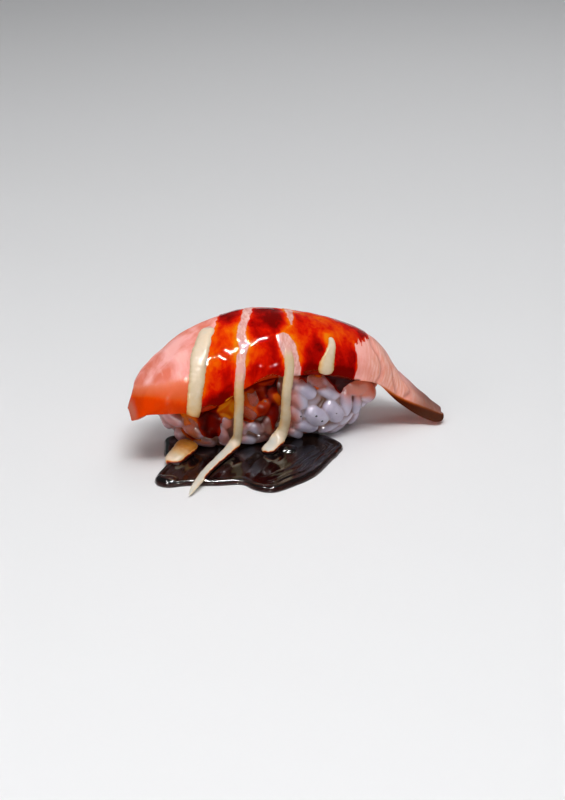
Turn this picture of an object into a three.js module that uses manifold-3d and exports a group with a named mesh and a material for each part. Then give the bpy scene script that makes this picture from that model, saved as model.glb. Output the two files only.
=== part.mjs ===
// Salmon nigiri: a hand-pressed block of vinegared rice with a long slice of raw salmon draped
// over it, mayonnaise piped across the slice in four lines, two of which run off its front edge,
// and a puddle of dark sweet sauce in front of the rice.
//
// Millimetres. +X runs toward the slice's thin tail, -Y is the front and +Z is up. The origin is
// the centre of the rice's flat foot.
import * as THREE from "three";
import { mergeVertices } from "three/addons/utils/BufferGeometryUtils.js";
import Module from "manifold-3d";

const wasm = await Module();
wasm.setup();

// ---------------------------------------------------------------- driving dimensions

const gap = 0.35;                   // clearance between pieces that lie on each other

// Rice block: a boat-shaped loft, narrower at its foot, with ends that curve up off the board.
const riceCentreX = -1.5;
const riceHalfLength = 26.5;
const riceHalfWidth = 9.9;
const riceBellyHeight = 10;         // height of the widest level
const riceDepthBelowBelly = 12;     // reaches past the board, so that cutting it leaves a foot
const riceTop = 27.6;
const riceTopX = -4;                // where along the block its top is highest
const riceTopFall = 0.0115;         // how fast the top falls away lengthwise, per mm
const riceSquareness = 2.3;         // 2 is an ellipse, more is squarer
const riceFullness = 2.8;           // 2 tapers like an ellipse in plan, more stays full for longer
const riceEndWidth = 0.22;          // share of the width and of the height left at the very ends
const riceEndHeight = 0.35;
const riceFootHalfLength = 18.3;    // past this the underside curves up
const riceEndRise = 8;
const riceStations = 27;
const riceSides = 26;

// Rice grains, as half sizes of one cooked short grain.
const grainHalf = new THREE.Vector3(3.4, 1.65, 1.35);
const grainSpacing = 3.35;
const grainTries = 4000;
const grainSizeSpread = 0.14;
const grainProud = 0.4;             // how far a grain's middle lies outside the core
const grainTilt = 0.3;
const grainReach = 0.97;            // grains keep to this share of the core's length
const grainFoot = 0.8;              // lowest middle of a grain, as a share of its half height

// Salmon slice: three rails, each from the thick end to the tip of the tail.
const crestRail = [
  [-35.0, -1.5, 11.2], [-32.6, -1.0, 15.9], [-26.6, 0.0, 21.5], [-18.0, 0.0, 27.3],
  [-5.0, 0.0, 30.3], [8.0, 0.0, 28.1], [19.0, 0.0, 24.3], [26.5, 0.0, 19.4],
  [31.5, -0.8, 12.1], [37.0, -2.2, 6.4], [41.2, -4.8, 2.5],
];
const frontRail = [
  [-36.2, -9.8, 10.9], [-33.6, -11.9, 13.2], [-26.5, -12.5, 12.9], [-18.5, -12.8, 13.0],
  [-7.0, -12.9, 18.3], [6.0, -12.6, 18.2], [16.0, -11.6, 15.3], [23.0, -9.6, 12.6],
  [28.5, -8.4, 7.0], [34.5, -8.4, 2.4], [39.6, -10.3, 0.4],
];
const backRail = [
  [-30.0, 5.6, 10.4], [-28.4, 8.8, 11.8], [-23.8, 10.6, 13.8], [-15.0, 12.0, 18.0],
  [-2.0, 12.2, 20.6], [8.0, 12.0, 20.4], [18.0, 11.2, 18.0], [25.5, 8.6, 14.5],
  [31.0, 5.4, 9.0], [36.4, 2.6, 4.4], [40.8, -1.8, 1.6],
];
const acrossPower = 1.5;            // how late the slice's rings lean from the crest to an edge
const straightEnd = 0.15;           // share of the length over which the thick end's cut is straight
const sliceThickness = 5;
const tailThickness = 2.6;
const edgeShare = 0.2;              // thickness left at an edge, as a share of the full one
const edgeRound = 0.27;             // share of the half width over which an edge rounds off
const endRound = 0.2;               // share of the length over which the thick end thins to its lip
const tailFrom = 0.62;              // the slice thins from here
const tailTo = 0.86;                // to here
const tipRound = 0.05;              // share of the length over which the tail's tip rounds off
const tipWidth = 0.6;
const cornerRound = 0.07;           // share of the length over which the thick end's corners round
const cornerWidth = 0.8;            // share of the width left at the very end
const thickEndSquareness = 0.84;    // under 1 gives the thick end a flatter top and a cut side
const squareFrom = 0.12;            // that shape fades from here
const squareTo = 0.36;              // to here
const creaseDepth = 0.45;           // fold that runs along the tail
const creaseWidth = 0.22;           // as a share of the half width
const creasePlace = -0.25;          // share of the way from the crest to the front edge
const upperFloor = 0.3;             // lowest height of the upper surface above the board
const sliceStations = 38;
const sliceColumns = 17;

// Mayonnaise lines. A place on the slice is its share of the length and its share of the way from
// the crest (0) to the front edge (-1). A run off the slice is a list of points.
const lineHalfWidth = 1.5;
const lineHalfHeight = 1.15;
const lineLift = 0.35;              // height of a line's middle above what it lies on
const lineStep = 2.2;
const lineSides = 8;
const lineEndSpread = 0.25;         // how far a line's sections crowd toward its ends
const endShare = 0.3;               // size of a line's last section, as a share of the full one
const mayonnaiseLines = [
  { onSlice: [[0.318, -0.1], [0.286, -0.38], [0.27, -0.6], [0.258, -0.8], [0.252, -0.97]], width: 1.1 },
  {
    onSlice: [[0.385, 0.02], [0.368, -0.45], [0.36, -0.76], [0.358, -0.93]],
    hanging: [[-12.0, -13.3, 14.2], [-12.0, -12.9, 10.4], [-11.9, -12.2, 6.6]],
    lying: [[-12.8, -11.8, 2.9], [-15.9, -14.0, 2.0], [-19.7, -18.5, 1.9], [-23.2, -23.1, 1.9],
      [-25.8, -27.0, 1.7], [-27.8, -29.2, 1.1], [-28.9, -30.3, 0.7]],
    width: 0.75,
    taper: 7,
  },
  {
    onSlice: [[0.475, 0.0], [0.452, -0.55], [0.451, -0.9]],
    hanging: [[-0.7, -13.4, 15.6], [-0.7, -13.2, 12.4], [-0.7, -12.8, 9.2], [-1.0, -12.2, 6.0]],
    lying: [[-2.2, -12.0, 3.0], [-4.2, -13.6, 2.0], [-7.2, -16.4, 1.8]],
    width: 0.85,
  },
  { onSlice: [[0.54, -0.38], [0.529, -0.75], [0.524, -0.97]], width: 0.95 },
];

// Sauce puddle: its outline in plan, its depth, and the blob of mayonnaise that dropped into it.
const puddleOutline = [
  [-24.0, 3.0], [-26.8, -2.6], [-29.0, -11.5], [-32.6, -16.6], [-33.9, -20.2], [-32.2, -23.0],
  [-27.0, -23.7], [-21.8, -25.6], [-16.2, -27.0], [-13.9, -30.9], [-10.4, -33.3], [-3.6, -30.7],
  [1.9, -27.2], [6.8, -21.8], [11.9, -15.8], [12.2, -11.6], [8.0, -6.0], [-4.0, -2.0],
  [-16.0, 1.0],
];
const puddleDepth = 1.25;
const puddleRim = 0.5;
const puddleSides = 54;
const blobPath = [[-21.6, -5.0, 1.8], [-23.2, -7.2, 2.0], [-25.6, -9.2, 2.0], [-28.5, -12.8, 1.7]];
const blobHalfWidth = 2.0;
const blobHalfHeight = 1.25;

// What cuts the underside flat, and what cuts the rice to the slice, reach well past every piece.
const boardSize = 200;
const boardDepth = 20;
const cutReach = 25;
const cutTop = 60;

// ---------------------------------------------------------------- solids

// Closed body through rings of equally many points, each end closed by a strip across its ring.
function loft(rings) {
  const count = rings[0].length;
  const faces = [];
  const quad = (a, b, c, d) => faces.push(a, b, c, a, c, d);
  for (let ring = 0; ring + 1 < rings.length; ring++) {
    for (let point = 0; point < count; point++) {
      const here = ring * count;
      const next = (point + 1) % count;
      quad(here + point, here + next, here + count + next, here + count + point);
    }
  }
  const last = (rings.length - 1) * count;
  for (let point = 0; point < count / 2 - 1; point++) {
    const across = count - 1 - point;
    quad(across, across - 1, point + 1, point);
    quad(last + point, last + point + 1, last + across - 1, last + across);
  }
  const geometry = new THREE.BufferGeometry();
  const positions = rings.flat().flatMap((p) => [p.x, p.y, p.z]);
  geometry.setAttribute("position", new THREE.Float32BufferAttribute(positions, 3));
  geometry.setIndex(faces);
  return geometry;
}

function signedVolume(positions, faces) {
  const corner = (k) => new THREE.Vector3().fromArray(positions, faces[k] * 3);
  let sum = 0;
  for (let k = 0; k < faces.length; k += 3) {
    sum += corner(k).dot(corner(k + 1).cross(corner(k + 2))) / 6;
  }
  return sum;
}

// A geometry as a solid that can be joined and cut, turned right side out.
function toSolid(geometry) {
  const bare = geometry.clone();
  bare.deleteAttribute("normal");
  bare.deleteAttribute("uv");
  const merged = mergeVertices(bare);
  const vertProperties = new Float32Array(merged.attributes.position.array);
  const triVerts = new Uint32Array(merged.index.array);
  if (signedVolume(vertProperties, triVerts) < 0) {
    triVerts.reverse();
  }
  return new wasm.Manifold(new wasm.Mesh({ numProp: 3, vertProperties, triVerts }));
}

// The largest body of a solid: loose scraps go, and a hollow sealed inside it is filled.
function largestBody(solid) {
  return solid.decompose().reduce((best, body) => (body.volume() > best.volume() ? body : best));
}

function toMesh(name, solid, material) {
  const { vertProperties, triVerts } = solid.getMesh();
  const geometry = new THREE.BufferGeometry();
  geometry.setAttribute("position", new THREE.BufferAttribute(vertProperties, 3));
  geometry.setIndex(new THREE.BufferAttribute(triVerts, 1));
  geometry.computeVertexNormals();
  const mesh = new THREE.Mesh(geometry, material);
  mesh.name = name;
  return mesh;
}

const vector = (p) => new THREE.Vector3(...p);
const spline = (points) => new THREE.CatmullRomCurve3(points.map(vector), false, "catmullrom", 0.5);
const smooth = THREE.MathUtils.smoothstep;
const signedPower = (value, power) => Math.sign(value) * Math.abs(value) ** power;

// ---------------------------------------------------------------- salmon slice

const crest = spline(crestRail);
const front = spline(frontRail);
const back = spline(backRail);

// 0 at an edge, 1 once the distance from it has reached the rounding length.
function roundOff(distance, length) {
  const share = THREE.MathUtils.clamp(distance / length, 0, 1);
  return Math.sqrt(1 - (1 - share) ** 2);
}

// Upper surface of the slice: quarter ellipses from the crest down to the front or back edge.
function sliceSurface(along, across) {
  const top = crest.getPoint(THREE.MathUtils.clamp(along, 0, 1));
  const edge = (across < 0 ? front : back).getPoint(THREE.MathUtils.clamp(along, 0, 1));
  const turn = Math.min(Math.abs(across), 1) * Math.PI / 2;
  const corners = THREE.MathUtils.lerp(cornerWidth, 1, roundOff(along, cornerRound));
  const tip = THREE.MathUtils.lerp(tipWidth, 1, roundOff(1 - along, tipRound));
  const reach = edge.sub(top).multiplyScalar(corners * tip);
  const power = THREE.MathUtils.lerp(thickEndSquareness, 1, smooth(along, squareFrom, squareTo));
  const lean = Math.abs(across) ** acrossPower;
  return top.add(new THREE.Vector3(
    reach.x * THREE.MathUtils.lerp(Math.sin(turn), lean, smooth(along, 0, straightEnd)),
    reach.y * Math.sin(turn) ** power,
    reach.z * (1 - Math.cos(turn) ** power),
  ));
}

function sliceNormal(along, across) {
  const step = 0.004;
  const inside = THREE.MathUtils.clamp(across, -1 + step, 1 - step);
  const lengthwise = sliceSurface(along + step, inside).sub(sliceSurface(along - step, inside));
  const crosswise = sliceSurface(along, inside + step).sub(sliceSurface(along, inside - step));
  return lengthwise.cross(crosswise).normalize();
}

function sliceThicknessAt(along, across) {
  const full = THREE.MathUtils.lerp(sliceThickness, tailThickness, smooth(along, tailFrom, tailTo));
  const atEdge = roundOff(1 - Math.abs(across), edgeRound);
  const atEnds = smooth(along, 0, endRound) * roundOff(1 - along, tipRound);
  return full * (edgeShare + (1 - edgeShare) * atEdge * atEnds);
}

// Underside of the slice, or a surface that clears it. It never hangs below the slice's edge.
function sliceUnderside(along, across, clearance) {
  const depth = sliceThicknessAt(along, across) + clearance;
  const point = sliceSurface(along, across).addScaledVector(sliceNormal(along, across), -depth);
  const edge = sliceSurface(along, across < 0 ? -1 : 1);
  point.z = Math.max(point.z, edge.z - clearance);
  return point;
}

function crease(along, across) {
  const place = (across - creasePlace) / creaseWidth;
  return creaseDepth * smooth(along, tailFrom, tailTo) * Math.exp(-place * place);
}

// Calls a function with each station of the slice, as its share of the length and its columns.
function sliceRings(ringAt) {
  const columns = [];
  for (let column = 0; column < sliceColumns; column++) {
    columns.push(-1 + 2 * column / (sliceColumns - 1));
  }
  const rings = [];
  for (let station = 0; station < sliceStations; station++) {
    rings.push(ringAt(station / (sliceStations - 1), columns));
  }
  return rings;
}

function sliceBody() {
  return toSolid(loft(sliceRings((along, columns) => {
    const upper = columns.map((across) => {
      const point = sliceSurface(along, across);
      point.addScaledVector(sliceNormal(along, across), -crease(along, across));
      point.z = Math.max(point.z, upperFloor);
      return point;
    });
    const lower = columns.map((across) => {
      const point = sliceUnderside(along, across, 0);
      point.z = Math.max(point.z, 0);
      return point;
    });
    return [...upper, ...lower.reverse()];
  })));
}

// ---------------------------------------------------------------- mayonnaise

// A rope of oval section along places that each have a point and the direction facing away from
// what the rope lies on. Its ends are rounded, the far one over the length given as its taper.
function rope(places, halfWidth, halfHeight, taper = halfWidth) {
  const line = new THREE.CatmullRomCurve3(places.map((place) => place.at), false, "catmullrom", 0.5);
  const facing = new THREE.CatmullRomCurve3(places.map((place) => place.up), false, "catmullrom", 0.5);
  const length = line.getLength();
  const ringCount = Math.round(length / lineStep) + 3;
  const rings = [];
  for (let ring = 0; ring < ringCount; ring++) {
    const share = (1 - Math.cos(Math.PI * ring / (ringCount - 1))) / 2;
    const t = THREE.MathUtils.lerp(ring / (ringCount - 1), share, lineEndSpread);
    const ends = roundOff(t * length, halfWidth) * roundOff((1 - t) * length, taper);
    const size = Math.max(ends, endShare);
    const ahead = line.getTangent(t);
    const side = ahead.clone().cross(facing.getPoint(t)).normalize();
    const up = side.clone().cross(ahead).normalize();
    const middle = line.getPoint(t);
    const points = [];
    for (let k = 0; k < lineSides; k++) {
      const angle = (k + 0.5) * 2 * Math.PI / lineSides;
      points.push(middle.clone()
        .addScaledVector(side, halfWidth * size * Math.cos(angle))
        .addScaledVector(up, halfHeight * size * Math.sin(angle)));
    }
    rings.push(points);
  }
  return toSolid(loft(rings));
}

// All places of one mayonnaise line, from its start on the slice to its end.
function linePlaces(line) {
  const places = line.onSlice.map(([along, across]) => {
    const up = sliceNormal(along, across);
    return { at: sliceSurface(along, across).addScaledVector(up, lineLift), up };
  });
  for (const point of line.hanging ?? []) {
    places.push({ at: vector(point), up: new THREE.Vector3(0, -1, 0.15).normalize() });
  }
  for (const point of line.lying ?? []) {
    places.push({ at: vector(point), up: new THREE.Vector3(0, -0.1, 1).normalize() });
  }
  return places;
}

function mayonnaiseRopes(margin) {
  return mayonnaiseLines.map((line) => rope(linePlaces(line), lineHalfWidth * line.width + margin,
    lineHalfHeight * line.width + margin, line.taper));
}

// ---------------------------------------------------------------- rice

// A point on the bare rice core: along from -1 to 1 end to end, and an angle round the section.
function riceSurface(along, angle, margin) {
  const taper = Math.max(1 - Math.abs(along) ** riceFullness, 0) ** 0.5;
  const x = riceCentreX + (riceHalfLength + margin) * along;
  const outward = Math.max(Math.abs(x - riceCentreX) - riceFootHalfLength, 0);
  const rise = riceEndRise * (outward / (riceHalfLength - riceFootHalfLength)) ** 1.5;
  const low = riceBellyHeight - riceDepthBelowBelly + rise;
  const high = Math.max(riceTop - riceTopFall * (x - riceTopX) ** 2, low + 1);
  const middle = THREE.MathUtils.lerp(riceBellyHeight, (low + high) / 2, Math.abs(along) ** 3);
  const power = 2 / riceSquareness;
  const height = Math.sin(angle) < 0 ? middle - low : high - middle;
  const halfWidth = riceHalfWidth * Math.max(taper, riceEndWidth) + margin;
  const halfHeight = height * Math.max(taper, riceEndHeight) + margin;
  return new THREE.Vector3(
    x,
    halfWidth * signedPower(Math.cos(angle), power),
    middle + halfHeight * signedPower(Math.sin(angle), power),
  );
}

function riceNormal(along, angle) {
  const step = 0.01;
  const lengthwise = riceSurface(along + step, angle, 0).sub(riceSurface(along - step, angle, 0));
  const round = riceSurface(along, angle + step, 0).sub(riceSurface(along, angle - step, 0));
  return round.cross(lengthwise).normalize();
}

function riceCore(margin) {
  const rings = [];
  for (let station = 0; station < riceStations; station++) {
    const along = Math.sin((station / (riceStations - 1) - 0.5) * Math.PI);
    const points = [];
    for (let k = 0; k < riceSides; k++) {
      points.push(riceSurface(along, (k + 0.5) * 2 * Math.PI / riceSides, margin));
    }
    rings.push(points);
  }
  return toSolid(loft(rings));
}

// Everything under the board's surface, which cuts the rice flat and the puddle too.
function underBoard() {
  const block = new THREE.BoxGeometry(boardSize, boardSize, boardDepth);
  return toSolid(block.translate(0, 0, -boardDepth / 2));
}

// Everything over the slice's underside, less the gap, as a loft that reaches far past the rice.
function overSlice() {
  return toSolid(loft(sliceRings((along, columns) => {
    const underside = columns.map((across) => sliceUnderside(along, across, gap));
    const roof = underside.map((point) => new THREE.Vector3(point.x, point.y, cutTop)).reverse();
    const frontEnd = underside[0];
    const backEnd = underside[underside.length - 1];
    return [
      new THREE.Vector3(frontEnd.x, -cutReach, frontEnd.z),
      ...underside,
      new THREE.Vector3(backEnd.x, cutReach, backEnd.z),
      new THREE.Vector3(backEnd.x, cutReach, cutTop),
      ...roof,
      new THREE.Vector3(frontEnd.x, -cutReach, cutTop),
    ];
  })));
}

// Repeatable random numbers from 0 to 1.
function randomSource(seed) {
  let state = seed;
  return () => {
    state = (state * 1664525 + 1013904223) % 4294967296;
    return state / 4294967296;
  };
}

function grainGeometry(size, place, turn) {
  const geometry = new THREE.OctahedronGeometry(1, 1);
  const pose = new THREE.Matrix4().compose(place, turn, size);
  return geometry.applyMatrix4(pose);
}

// Grains lying on the core's open sides, none closer than the spacing to another, and none
// within the gap of the salmon or the puddle.
function riceGrains(obstacles) {
  const random = randomSource(7);
  const grains = [];
  const taken = [];
  for (let attempt = 0; attempt < grainTries; attempt++) {
    const along = Math.sin((random() - 0.5) * Math.PI * grainReach);
    const angle = random() * 2 * Math.PI;
    const normal = riceNormal(along, angle);
    const place = riceSurface(along, angle, 0).addScaledVector(normal, grainProud);
    const spin = random() * Math.PI;
    const tilt = (random() - 0.5) * 2 * grainTilt;
    const scale = 1 + (random() - 0.5) * 2 * grainSizeSpread;
    const crowded = taken.some((other) => other.distanceTo(place) < grainSpacing);
    if (crowded || place.z < grainHalf.z * grainFoot) {
      continue;
    }
    const turn = new THREE.Quaternion()
      .setFromUnitVectors(new THREE.Vector3(0, 0, 1), normal)
      .multiply(new THREE.Quaternion().setFromAxisAngle(new THREE.Vector3(0, 0, 1), spin))
      .multiply(new THREE.Quaternion().setFromAxisAngle(new THREE.Vector3(0, 1, 0), tilt));
    const size = grainHalf.clone().multiplyScalar(scale);
    const swollen = toSolid(grainGeometry(size.clone().addScalar(gap), place, turn));
    if (obstacles.some((obstacle) => !swollen.intersect(obstacle).isEmpty())) {
      continue;
    }
    taken.push(place);
    grains.push(toSolid(grainGeometry(size, place, turn)));
  }
  return grains;
}

// ---------------------------------------------------------------- sauce puddle

function puddle() {
  const outline = new THREE.CatmullRomCurve3(
    puddleOutline.map(([x, y]) => new THREE.Vector3(x, y, 0)), true, "catmullrom", 0.5);
  const points = outline.getPoints(puddleSides).slice(0, -1).map((p) => new THREE.Vector2(p.x, p.y));
  const sheet = new THREE.ExtrudeGeometry(new THREE.Shape(points), {
    depth: puddleDepth - puddleRim,
    bevelEnabled: true,
    bevelThickness: puddleRim,
    bevelSize: puddleRim,
    bevelOffset: -puddleRim,
    bevelSegments: 2,
  });
  const blob = rope(blobPath.map((p) => ({ at: vector(p), up: new THREE.Vector3(0, 0, 1) })),
    blobHalfWidth, blobHalfHeight);
  let solid = toSolid(sheet).subtract(underBoard());
  for (const strand of mayonnaiseRopes(gap)) {
    solid = solid.subtract(strand);
  }
  return largestBody(solid.add(blob).subtract(riceCore(gap)));
}

// ---------------------------------------------------------------- assembly

const salmonMaterial = new THREE.MeshStandardMaterial({ color: "#e58a63", roughness: 0.32 });
const riceMaterial = new THREE.MeshStandardMaterial({ color: "#ece9e6", roughness: 0.45 });
const sauceMaterial = new THREE.MeshStandardMaterial({ color: "#1d0b07", roughness: 0.12 });

const salmonSolid = mayonnaiseRopes(0).reduce((sum, strand) => sum.add(strand), sliceBody());
const puddleSolid = puddle();
const core = riceCore(0).subtract(underBoard()).subtract(overSlice());
const grains = riceGrains([salmonSolid, puddleSolid, underBoard()]);
const riceSolid = grains.reduce((sum, grain) => sum.add(grain), core);

const group = new THREE.Group();
group.add(toMesh("rice", largestBody(riceSolid), riceMaterial));
group.add(toMesh("salmon", largestBody(salmonSolid.subtract(underBoard())), salmonMaterial));
group.add(toMesh("sauce_pool", puddleSolid, sauceMaterial));

export default group;
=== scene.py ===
"""Salmon nigiri: a pressed block of vinegared rice under a long slice of raw salmon, which is brushed
with a red-orange glaze, piped with mayonnaise, and has a puddle of dark sweet sauce at its foot."""

import math

import bmesh
import bpy
import numpy as np
from mathutils import Matrix, Quaternion, Vector, noise
from mathutils.bvhtree import BVHTree
from mathutils.kdtree import KDTree


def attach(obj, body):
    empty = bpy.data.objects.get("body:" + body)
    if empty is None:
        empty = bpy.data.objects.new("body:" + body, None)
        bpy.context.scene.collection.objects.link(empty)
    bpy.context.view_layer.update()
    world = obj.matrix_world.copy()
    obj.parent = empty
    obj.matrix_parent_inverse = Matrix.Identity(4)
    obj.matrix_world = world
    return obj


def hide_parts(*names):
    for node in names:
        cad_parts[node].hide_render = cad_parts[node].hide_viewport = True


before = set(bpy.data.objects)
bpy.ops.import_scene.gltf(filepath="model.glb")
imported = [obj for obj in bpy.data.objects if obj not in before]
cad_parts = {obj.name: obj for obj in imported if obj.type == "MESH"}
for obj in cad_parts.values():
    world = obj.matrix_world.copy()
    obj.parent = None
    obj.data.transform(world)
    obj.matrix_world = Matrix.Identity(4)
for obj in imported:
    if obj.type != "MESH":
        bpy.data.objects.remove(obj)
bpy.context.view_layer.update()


# ------------------------------------------------------------------------------- rice block
# Cooked short-grain rice pressed by hand into a boat-shaped block. The grains keep their shape and
# are glued to each other by their own starch, so they are laid over a packed core in layers and
# then melted together a little. The block stands on a flat foot, and its ends curve up.

MM = 0.001  # sizes are in mm from here on, and metres only where Blender is given them
rice_centre_x, rice_half_length, rice_half_width = -1.5, 26.5, 9.9
rice_belly_height, rice_depth_below_belly = 10.0, 12.0
rice_top, rice_top_x, rice_top_fall = 27.6, -4.0, 0.0115
rice_squareness, rice_taper = 2.3, 2.8
rice_end_width, rice_end_height = 0.22, 0.35
rice_foot_half_length, rice_end_rise, rice_end_curve = 18.3, 8.0, 1.5
core_inset, core_stations, core_turns, core_below_slice = 0.7, 60, 72, 0.3
starch_size, melt_passes = 0.275, 4  # how finely the grains fuse, and how often that is smoothed
board_skin, grain_clear_of_board = 0.02, 0.05
grain_half = np.array([3.3, 1.75, 1.45])
grain_size_spread, grain_tilt = 0.1, 0.12
open_grain_wide, open_grain_thick = 1.06, 0.85
grain_tries, grain_reach, lowest_grain, grain_room = 6000, 0.985, 0.8, 1.1  # room up to the slice
spine_points = 5  # along the middle of a grain, for its distance to other grains
grain_layers = [  # how far grains stand out of the block's surface, the gap kept to others, the seed
    {"proud": 0.1, "gap": 2.55, "gap_to_outer": 2.55, "seed": 11},
    {"proud": -1.1, "gap": 2.3, "gap_to_outer": 1.7, "seed": 23},
    {"proud": -1.7, "gap": 2.0, "gap_to_outer": 1.3, "seed": 31},
]
# Whole grains that lie open at the front: x, height, lean in degrees, half length, half width, proud.
front_grains = [
    (7.5, 7.1, -36, 3.5, 1.95, 0.9), (2.7, 11.8, -46, 3.3, 1.65, 0.6),
    (4.6, 13.6, -33, 3.4, 1.7, 0.3), (11.9, 7.2, -52, 3.7, 1.95, 0.5),
    (8.2, 15.3, -30, 2.7, 1.5, 0.2), (10.7, 12.2, -28, 3.3, 1.6, 0.1),
    (15.3, 8.9, -80, 3.8, 1.5, 0.35), (18.4, 7.6, -80, 2.8, 1.3, 0.3),
    (18.2, 12.4, -8, 4.3, 2.5, 0.0), (21.6, 9.6, -40, 3.8, 2.3, 0.0),
    (21.3, 6.7, -25, 2.7, 1.4, -0.1), (5.3, 4.6, -20, 3.3, 1.5, 0.5),
    (11.4, 2.6, 3, 2.9, 1.2, 0.1), (15.9, 4.0, 32, 2.2, 1.2, 0.0),
    (2.3, 8.2, -60, 2.6, 1.4, 0.3), (3.0, 2.9, -40, 2.6, 1.3, 0.1),
    (6.6, 10.6, 10, 2.6, 1.4, -0.6), (2.2, 16.8, -43, 2.3, 1.2, 0.2),
    (-8.2, 13.6, -72, 2.5, 1.5, 0.6), (-10.4, 13.3, -75, 2.5, 1.4, 0.1),
    (-8.9, 10.3, -50, 2.7, 1.5, 0.5), (-5.6, 11.0, 60, 2.4, 1.4, 0.1),
    (-2.9, 13.6, -61, 2.2, 1.4, 0.0), (-4.0, 6.0, -80, 3.0, 1.4, 0.3),
    (-7.0, 6.0, -35, 2.6, 1.35, 0.4), (-8.6, 2.9, -15, 2.6, 1.3, 0.3),
    (-5.2, 2.6, 10, 2.3, 1.2, 0.1), (-10.4, 6.4, -72, 2.3, 1.3, 0.0),
    (-14.2, 8.6, -53, 2.3, 1.3, 0.2), (-14.5, 4.8, -75, 2.8, 1.3, 0.1),
    (-13.0, 2.6, -6, 2.4, 1.2, 0.2), (-18.1, 2.2, -4, 2.9, 1.3, -0.1),
    (-20.9, 5.8, -26, 2.8, 1.6, -0.1), (-25.1, 8.5, 0, 3.0, 1.7, 0.0)]


def rice_surface(along, angle, margin=0.0):
    """Points on the pressed block in mm: along is -1 to 1 end to end, angle goes round the section."""
    squeeze = np.sqrt(np.maximum(1 - np.abs(along) ** rice_taper, 0))
    x = rice_centre_x + (rice_half_length + margin) * along
    outward = np.maximum(np.abs(x - rice_centre_x) - rice_foot_half_length, 0)
    rise = rice_end_rise * (outward / (rice_half_length - rice_foot_half_length)) ** rice_end_curve
    low = rice_belly_height - rice_depth_below_belly + rise
    high = np.maximum(rice_top - rice_top_fall * (x - rice_top_x) ** 2, low + 1)
    middle = rice_belly_height + ((low + high) / 2 - rice_belly_height) * np.abs(along) ** 3
    cosine, sine = np.cos(angle), np.sin(angle)
    height = np.where(sine < 0, middle - low, high - middle)
    power = 2 / rice_squareness
    wide = rice_half_width * np.maximum(squeeze, rice_end_width) + margin
    tall = height * np.maximum(squeeze, rice_end_height) + margin
    y = wide * np.sign(cosine) * np.abs(cosine) ** power
    z = middle + tall * np.sign(sine) * np.abs(sine) ** power
    return np.stack([x + 0 * y, y, z], -1)


def unit(vectors):
    """The vectors at length 1."""
    return vectors / np.linalg.norm(vectors, axis=-1, keepdims=True)


def facing(surface, first, second, step):
    """The direction square to a surface at a place that two numbers give."""
    lengthwise = surface(first + step, second) - surface(first - step, second)
    crosswise = surface(first, second + step) - surface(first, second - step)
    return unit(np.cross(lengthwise, crosswise))


def mesh_tree(mesh):
    """A mesh, ready to be measured against."""
    corners = [v.co.copy() for v in mesh.vertices]
    return BVHTree.FromPolygons(corners, [tuple(p.vertices) for p in mesh.polygons])


def make_piece(name, points, faces, attributes=None):
    """A smooth-shaded mesh from points in mm, with numbers or vectors stored at its points."""
    mesh = bpy.data.meshes.new(name)
    mesh.from_pydata((np.asarray(points).reshape(-1, 3) * MM).tolist(), [], faces)
    mesh.shade_smooth()
    mesh.validate()
    piece = bpy.data.objects.new(name, mesh)
    bpy.context.scene.collection.objects.link(piece)
    store(piece, attributes or {})
    return piece


def store(piece, attributes):
    """Keeps numbers or vectors for each point of a piece, by name, for its material to read."""
    for label, values in attributes.items():
        values = np.asarray(values, np.float32)
        vector = values.size == 3 * len(piece.data.vertices)
        layer = piece.data.attributes.new(label, "FLOAT_VECTOR" if vector else "FLOAT", "POINT")
        layer.data.foreach_set("vector" if vector else "value", values.ravel())


def loft_faces(ring_count, ring_size):
    """Quads between rings of points, with one face closing each end."""
    faces = []
    for ring in range(ring_count - 1):
        for k in range(ring_size):
            here, across = ring * ring_size + k, ring * ring_size + (k + 1) % ring_size
            faces.append((here, across, across + ring_size, here + ring_size))
    last = (ring_count - 1) * ring_size
    faces.append(tuple(reversed(range(ring_size))))
    faces.append(tuple(range(last, last + ring_size)))
    return faces


def face_outward(piece):
    """Turns every face of a closed mesh to point out of it."""
    shape = bmesh.new()
    shape.from_mesh(piece.data)
    bmesh.ops.recalc_face_normals(shape, faces=shape.faces)
    shape.to_mesh(piece.data)
    shape.free()


salmon_solid = mesh_tree(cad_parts["salmon"].data)
up = Vector((0, 0, 1))


def room_under_slice(place):
    """Distance in mm from a place to the salmon and what is piped on it, or -1 inside it."""
    spot = Vector(place * MM)
    hit, normal, _, _ = salmon_solid.ray_cast(spot, up)
    if hit is not None and normal.z > 0:
        return -1.0
    return salmon_solid.find_nearest(spot)[3] / MM


def lay_grain(along, angle, direction, tilt, proud, half):
    """A grain's place on the block: its middle, its axes as columns, and its half sizes."""
    normal = Vector(-facing(rice_surface, along, angle, 0.01))
    ahead = Vector(direction)
    ahead = (ahead - normal * ahead.dot(normal)).normalized()
    turn = Matrix((ahead, normal.cross(ahead), normal)).transposed()
    turn = np.array(turn @ Matrix.Rotation(tilt, 3, "Y"))
    middle = rice_surface(along, angle) + np.array(normal) * proud
    reach = np.linspace(-1, 1, spine_points)[:, None] * (half[0] - 0.8 * half[1])
    return {"middle": middle, "turn": turn, "half": half, "spine": middle + turn[:, 0] * reach}


def grain_points(unit, grain, rng):
    """The skin of one cooked grain: plump, slightly bent, blunter at one end."""
    x, y, z = unit.T
    blunt = 1 + rng.uniform(-0.12, 0.12) * x
    plump = np.sqrt(1 - np.abs(x) ** 2.6) / np.sqrt(np.maximum(1 - x * x, 1e-6))
    wide = blunt * np.clip(plump, 1, 1.2) * (1 + 0.04 * np.sin(3.1 * x + 2.3 * y + rng.uniform(0, 6)))
    bend = rng.uniform(-0.25, 0.25) * x * x
    points = np.stack([x, y * wide + bend, z * wide], -1) * grain["half"]
    points = points @ grain["turn"].T + grain["middle"]
    points[:, 2] += max(grain_clear_of_board - points[:, 2].min(), 0)
    return points


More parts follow.
